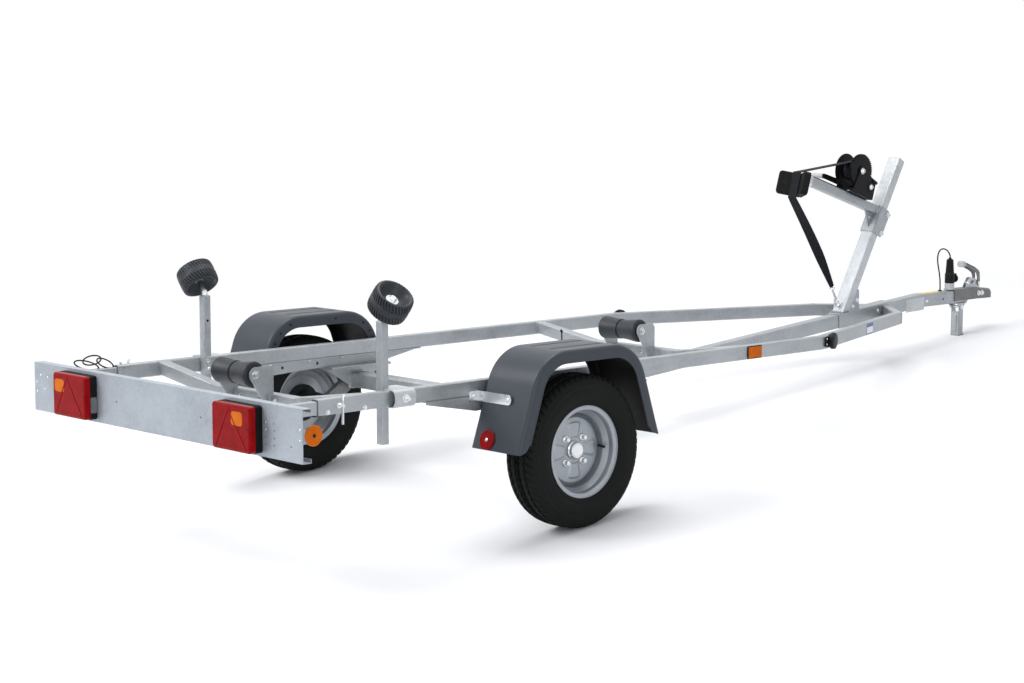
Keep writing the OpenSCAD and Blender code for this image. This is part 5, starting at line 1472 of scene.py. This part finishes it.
def winch_crank():
    """The pinion on its shaft, and the crank's arm with a turned grip."""
    piece = Piece()
    small = prism(toothed(PINION, 20, 12, 5), 7 - FRAME_Y, 16 - FRAME_Y)
    piece.add(small, BRIGHT, at=ON_ARM)
    piece.add(across_winch(PINION, -FRAME_Y - 8, FRAME_Y + 36, 8.9, 20), BRIGHT, at=ON_ARM)
    turn = ON_ARM @ shift(*PINION) @ Matrix.Rotation(radians(179), 4, "Y")
    y = FRAME_Y + 22
    arm = circle(0, 0, 16, 12, pi / 2, pi) + circle(203, 0, 12, 10, -pi / 2, pi)
    piece.add(prism(arm, y, y + 6), BLACK_STEEL, 1, turn)
    piece.bolt(ON_ARM @ Vector((PINION.x, y + 6, PINION.z)), (0, 1, 0), 14)
    grip = [(0, 0), (11, 0), (13, 3), (12.4, 20), (13.4, 45), (13.2, 80), (12, 100),
            (12.8, 107), (9, 110), (0, 110)]
    piece.add(lathe(grip, 28), GRIP, at=turn @ aim((201, y + 6, 0), (0, 1, 0)))
    piece.finish("winch_crank_arm", ["winch_crank"], "black_steel")


def strap():
    """Webbing: wound on the drum, over the pads' V, then twisting down to its sewn loop on the hook."""
    hook_low, hook_high = level_box("strap_hook")
    half, thick = 25, 3
    level = (0, 1, 0)
    piece = Piece()
    turns, core_r, steps = 4, 27, 36
    spiral = []
    for i in range(turns * steps + 1):
        a = 2 * pi * i / steps
        r = core_r + (ROLL_R - 1.5 - core_r) * i / (turns * steps)
        spiral.append(DRUM + Vector((r * sin(a), 0, r * cos(a))))
    n = len(spiral)
    piece.add(ribbon(spiral, [level] * n, [half] * n, thick * 1.6), WEBBING, at=ON_ARM)
    # from the drum's top to the pads' lip and down behind it
    lip_s = -4.3 - PAD_THICK / cos(PAD_TURN) - half * tan(PAD_TURN)
    lip_top, lip_low = -5.7, -132
    gap = Vector((DRUM.x - lip_s, 0, DRUM.z - lip_top - thick))
    rise = atan2(gap.z, gap.x) + ROLL_R / hypot(gap.x, gap.z)
    leave = DRUM + (ROLL_R - 2) * Vector((-sin(rise), 0, cos(rise)))
    over = Vector((lip_s, 0, lip_top + thick / 2))
    line = [leave.lerp(over, i / 6) for i in range(6)]
    line += [over - thick * Vector((0.4 + sin(a), 0, 1 - cos(a))) for a in (0.2, 0.8, 1.4)]
    low_end = Vector((lip_s - thick * 0.6 - 1.4, 0, lip_low))
    line += [line[-1].lerp(low_end, i / 4) for i in range(1, 5)]
    line = [ON_ARM @ p for p in line]
    hook_top = Vector((hook_low.x + 8, 0, hook_high.z - 4))
    drop = line[-1]
    turned, widths = [level] * len(line), [half] * len(line)
    for i in range(1, 13):
        t = i / 12
        line.append(drop.lerp(hook_top, t) + Vector((11 * sin(pi * t), 0, 0)))
        swing = -radians(60) * t
        turned.append((sin(swing), cos(swing), 0))
        widths.append(half - (half - 12) * max(0, (t - 0.62) / 0.38) ** 1.2)
    piece.add(ribbon(line, turned, widths, thick), WEBBING)
    # sewn end: a second layer
    sewn = [line[-5].lerp(line[-1], i / 4) + Vector((-2.6, 0, 0)) for i in range(5)]
    piece.add(ribbon(sewn, turned[-5:], [w - 1.5 for w in widths[-5:]], 2.2), WEBBING)
    piece.finish("winch_webbing", ["winch_strap"], "webbing")


def strap_hook():
    """A pressed snap hook with its spring tongue, caught in a wire ring at the post's foot."""
    low, high = level_box("strap_hook")
    piece = Piece()
    eye = Vector((WINCH_X - 21.5 + EYE_RISE * tan(WINCH_LEAN), 0, FOOT_TOP + EYE_RISE))
    ring = [eye + Vector((u, 0, v)) for u, v in circle(0, 0, 14, 36)]
    piece.add(tube(ring + ring[:1], 4, 12), BRIGHT)
    saddle_at = ON_POST @ Vector((-2.8, 0, EYE_RISE / cos(WINCH_LEAN) - 2))
    piece.add(lathe([(0, 0), (8, 0), (8, 2), (6.5, 3), (0, 3)], 20), BRIGHT,
              at=aim(saddle_at, ON_POST.to_3x3() @ Vector((1, 0, 0))))
    top = Vector((low.x + 8, 0, high.z - 9))
    waist, tip = Vector((eye.x - 18, 0, eye.z + 34)), Vector((eye.x - 14, 0, eye.z + 4))
    loop = ((-13, 0), (-13, 6), (-8, 11), (8, 11), (13, 6), (13, 0), (8, -5), (-8, -5), (-13, 0))
    piece.add(tube([top + Vector((0, y, z)) for y, z in loop], 3, 10), BRIGHT)

    def off(point, x, z):
        return point + Vector((x, 0, z))

    middle = waist.lerp(tip, 0.5)
    shank = [off(top, 0, -5), top.lerp(waist, 0.5), waist, off(middle, -5, 0),
             off(tip, -6, -4), off(tip, 0, -9),
             off(tip, 8, -4), off(tip, 8, 2)]
    piece.add(tube(shank, [5.5, 5.5, 6, 5.5, 5, 4.6, 4.2, 3.4], 12), PALE_ZINC)
    tongue = [off(waist, 5, 4), off(middle, 7, 2), off(tip, 9, 6)]
    piece.add(ribbon(tongue, [(0, 1, 0)] * 3, [4.5, 4.5, 4], 1.6), BRIGHT)
    piece.finish("snap_hook", ["strap_hook"], "bright_steel")


winch_post()
winch_arm()
bow_stop()
winch_frame()
winch_drum()
winch_crank()
strap()
strap_hook()


# ---- Coupling ----
HEAD_LOW = level_box("coupling_head")[0]
BALL = LEVEL @ Vector(MOUNTS["ball_socket"]["pos_m"])
PIN = LEVEL @ Vector(JOINTS["coupling_handle_lift"]["pos_m"])


def coupling_head():
    """A pressed coupling body: boxed over the drawbar, then swelling into the round hood over the ball."""
    piece = Piece()
    x0, under, top = HEAD_LOW.x, HEAD_LOW.z, BAR_TOP + 5.3
    stations = [  # place, half width, underside, top, corner radius
        (x0, 35.3, under, top, 5), (x0 + 150, 35.3, under, top, 6), (x0 + 205, 35, under + 1, top - 2, 9),
        (x0 + 245, 37, under, top - 7, 15), (x0 + 272, 39.5, under, top - 9, 20),
        (BALL.x, 40.8, under, top - 11, 22),
        (BALL.x + 16, 38.2, under, top - 13, 22), (BALL.x + 28, 30.5, under, top - 18, 20),
        (BALL.x + 36, 20, under, top - 25, 14), (BALL.x + 40.5, 8, under, top - 34, 5)]
    rings = []
    for x, half, low, high, r in stations:
        r = min(r, half - 0.5, (high - low) / 2 - 0.5)
        side = [(half, low)] + circle(half - r, high - r, r, 6, 0, pi / 2)
        rings.append([(x, u, v) for u, v in side + [(-u, v) for u, v in reversed(side)]])
    piece.add(loft(rings), CAST, 1.2, limit=50)
    # the ball's socket shows from below
    rim = [(25.4, -1.2), (27, -2.2), (38.5, -2.2), (40.8, 0), (41.8, 3.5), (40.8, 7), (39, 8), (25.4, 8)]
    piece.add(lathe(rim, 56), CAST, at=shift(BALL.x, 0, under + 2.2))
    cup = [(0, 26), (10, 25), (18, 20), (23.5, 12), (25.2, 3), (25.2, 0), (24, -0.2), (0, -0.2)]
    piece.add(lathe(cup, 40), BLACK_STEEL, at=shift(BALL.x, 0, under - 0.3))
    piece.bolts([(3812, 36, 596), (3840, 36, 596)], (0, 1, 0), 12, left_shank=5)
    x, z = PIN.x, PIN.z
    lug = [(x - 108, BAR_TOP + 4), (x + 14, BAR_TOP - 4), (x + 14, z + 6), (x, z + 13), (x - 40, z + 31),
           (x - 56, z + 34), (x - 72, z + 32), (x - 98, z)]
    window = [(x - 52 + 17 * c + 4 * s, z + 8 + 9 * s) for c, s in circle(0, 0, 1)]
    for y in (-12, 8.5):
        piece.add(prism(lug, y, y + 3.5, holes=[window, circle(x, z, 5.2, 16)]), PALE_ZINC, 0.8)
    piece.add(rod((x - 84, -12, z + 4), (x - 84, 12, z + 4), 4.5, 14), BRIGHT)
    for y in (-12.2, 12.2):
        cap = lathe([(0, 0), (8, 0), (7.6, 2), (5, 3), (0, 3.2)], 20)
        piece.add(cap, BRIGHT, at=aim((x - 84, y, z + 4), (0, y, 0)))
    piece.finish("coupling_body", ["coupling_head"], "cast_grey")


def coupling_handle():
    """Two pressed cheeks rise from the pin and sweep back to a rounded grip."""
    x, z = PIN.x, PIN.z
    piece = Piece()
    edge = ((10, 34), (8, 56), (-4, 70), (-36, 87), (-124, 118), (-124, 98), (-50, 70), (-22, 54), (-13, 34))
    cheek = circle(x, z, 11, 10, pi, pi) + [(x + u, z + v) for u, v in edge]
    piece.pair(prism(cheek, 13, 17), CAST, 1)
    cap = lathe([(0, 0), (9, 0), (9, 2), (6, 3.4), (0, 3.6)], 24)
    piece.pair(cap, BRIGHT, at=aim((x, 17, z), (0, 1, 0)))
    piece.add(rod((x, -18, z), (x, 18, z), 4.9, 20), BRIGHT)
    bridge = [(x - 34, z + 82), (x - 122, z + 113), (x - 122, z + 117), (x - 34, z + 86)]
    piece.add(prism(bridge, -17, 17), CAST, 0.9)
    rings = []
    for u, half, low, high, r in ((-145, 15, 98, 118, 6), (-143, 20, 94, 121, 8), (-136, 23, 91, 123.5, 10),
                                  (-128, 23, 91, 123.5, 10), (-121, 20, 93, 120, 8)):
        section = rounded(2 * half, high - low, r, 5, 0, (low + high) / 2)
        rings.append([(x + u, p, z + q) for p, q in section])
    piece.add(loft(rings), GRIP)
    piece.finish("handle_and_grip", ["coupling_handle"], "cast_grey", "coupling_handle")


# ---- Prop leg ----
LEG_HALF = level_box("prop_leg")[1].y
LEG_PIN = LEVEL @ Vector(JOINTS["prop_leg_fold"]["pos_m"])
EYE_R = 13


def leg_bracket():
    """Ears under the drawbar hold the leg's pin and the bolts of their plate."""
    x, z, top = LEG_PIN.x, LEG_PIN.z, level_box("leg_bracket")[1].z
    inner, outer = LEG_HALF + 1, LEG_HALF + 6
    piece = Piece()
    piece.add(box((x - 40, -outer, top - 5), (x + 46, outer, top - 0.2)), GALVANISED, 1)
    ear = [(x - 32, top - 4), (x - 28, top - 12)] + circle(x, z, EYE_R, 12, pi, pi)
    ear += [(x + 28, top - 12), (x + 32, top - 4)]
    piece.pair(prism(ear, inner, outer, holes=[circle(x, z, 6.1, 16)]), GALVANISED, 0.8)
    piece.bolts([(x, outer, z)], (0, 1, 0), 11, left_shank=4)
    piece.bolts([(x + 32, inner - 10, top - 5)], (0, 0, -1), 8)
    piece.add(rod((x, -outer - 1, z), (x, outer + 1, z), 6, 20), BRIGHT)
    piece.finish("leg_ears", ["leg_bracket"], "galvanised")


def prop_leg():
    """A channel, open in front, with a rib down its back, that stands on a sole parallel to the ground."""
    x, z = LEG_PIN.x, LEG_PIN.z
    half, back, front = LEG_HALF, x - EYE_R, x + 23
    rest = LEVEL @ Vector(((PARKED @ Vector((back, 0, 0))).x, 0, 0))

    def ground(at_x, above=0.0):
        """A point above the floor, which slopes in the level frame by the trailer's pitch."""
        return (at_x, rest.z + (at_x - rest.x) * tan(TIP) + above)

    toe = front + 7
    plate = circle(x, z, EYE_R, 12, 0, pi) + [(back, z - 24), ground(back), ground(front + 6)]
    plate += [ground(toe, 7), ground(front, 16), (front, z - 20)]
    rear = [(back, z - 24), (back + 4, z - 24), ground(back + 4, 2), ground(back, 1)]
    sole = [ground(back), ground(toe), ground(toe, 5), ground(back, 5)]
    rib_low, rib_high = ground(back, 18)[1], ground(back, 26)[1]
    rib = [(back + 0.2, z - 40), (back - 3.2, z - 48), (back - 3.2, rib_high), (back + 0.2, rib_low)]
    piece = Piece()
    piece.pair(prism(plate, half - 4, half, holes=[circle(x, z, 6.1, 16)]), GALVANISED, 0.9)
    piece.add(prism(rear, -half, half), GALVANISED, 1.2)
    piece.add(prism(sole, -half, half), GALVANISED, 1)
    piece.add(prism(rib, -9, 9), GALVANISED, 1.4)
    piece.finish("leg_channel", ["prop_leg"], "galvanised", "prop_leg")


def plug_holder():
    """A round cup on a small plate keeps the plug by the coupling."""
    low, high = level_box("plug_holder")
    x, y, base, tall = PLUG_X, PLUG_Y, low.z, high.z - low.z
    piece = Piece()
    cup = [(22.3, 4), (22.3, tall - 2), (23.4, tall), (25, tall), (25, tall - 2), (25, tall - 6),
           (25, tall - 8),
           (25, 3), (22.3, 3)]
    piece.add(lathe(cup, 44), GRIP, at=shift(x, y, base))
    piece.add(lathe([(0, 3), (24.5, 3), (24.5, 5), (0, 5)], 40), GRIP, at=shift(x, y, base))
    piece.add(prism(rounded(46, 46, 6, 4, x - 1, y), base, base + 3.2, "XY"), GRIP, 0.8)
    for v in (-17, 17):
        piece.bolt((x - 19, y + v, base + 3.2), (0, 0, 1), 5)
    piece.finish("plug_cup", ["plug_holder"], "grip_grey")


coupling_head()
coupling_handle()
leg_bracket()
prop_leg()
plug_holder()


# ---- Floor, background and light ----
def stage():
    """A white floor that takes the trailer's soft shadow and turns into the plain white background."""
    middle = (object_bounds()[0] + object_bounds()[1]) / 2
    bm = bmesh.new()
    bmesh.ops.create_grid(bm, x_segments=1, y_segments=1, size=60)
    data = bpy.data.meshes.new("floor")
    bm.to_mesh(data)
    bm.free()
    floor = show("floor", data)
    floor.location = (middle.x, 0, 0)
    look = Look("studio floor", 0.9, Base_Color=(0.86, 0.86, 0.87, 1), Specular_IOR_Level=0.1)
    span = look.node("VectorMath", {"operation": "LENGTH"}, _0=look.place).outputs["Value"]
    fade = look.node("MapRange", {"interpolation_type": "SMOOTHSTEP"}, Value=span,
                     From_Min=2.2, From_Max=4.6)
    seen = look.node("LightPath").outputs["Is Camera Ray"]
    plain = look.math("MULTIPLY", seen, fade.outputs["Result"])
    white = look.node("Emission", Strength=1.0).outputs[0]
    mix = look.node("MixShader", _0=plain, _1=look.shader.outputs[0], _2=white)
    look.links.new(mix.outputs[0], look.nodes["Material Output"].inputs["Surface"])
    data.materials.append(look.material)
    floor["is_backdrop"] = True


def surroundings():
    """The camera and mirrors see plain white; matt skins get a softer, bluer light."""
    world = bpy.data.worlds.new("studio")
    bpy.context.scene.world = world
    sky = Graph(world)
    soft = sky.nodes["Background"]
    soft.inputs["Color"].default_value = (0.93, 0.96, 1.0, 1)
    soft.inputs["Strength"].default_value = 0.55
    plain = sky.node("Background", Color=(1, 1, 1, 1), Strength=1.0).outputs[0]
    rays = sky.node("LightPath").outputs
    seen = sky.math("MAXIMUM", rays["Is Camera Ray"], rays["Is Glossy Ray"])
    seen = sky.math("MAXIMUM", seen, rays["Is Transmission Ray"])
    mix = sky.node("MixShader", _0=seen, _1=soft.outputs[0], _2=plain)
    sky.links.new(mix.outputs[0], sky.nodes["World Output"].inputs["Surface"])


def area_light(name, at, height, size, watts):
    """A round lamp that looks at a point above the middle of the floor."""
    data = bpy.data.lights.new(name, "AREA")
    data.shape = "DISK"
    data.size = size
    data.energy = watts
    obj = show(name, data)
    obj.location = at
    obj.rotation_euler = (Vector((0, 0, height)) - Vector(at)).to_track_quat("-Z", "Y").to_euler()


stage()
surroundings()
area_light("key behind and left", (-6.5, 3.5, 6.5), 0.4, 4.5, 470)
area_light("top", (0.5, 0.5, 7.5), 0.4, 6.0, 380)
area_light("fill by the camera", (-5.0, -8.0, 3.2), 0.5, 4.0, 120)
bpy.context.scene.view_settings.view_transform = "Standard"
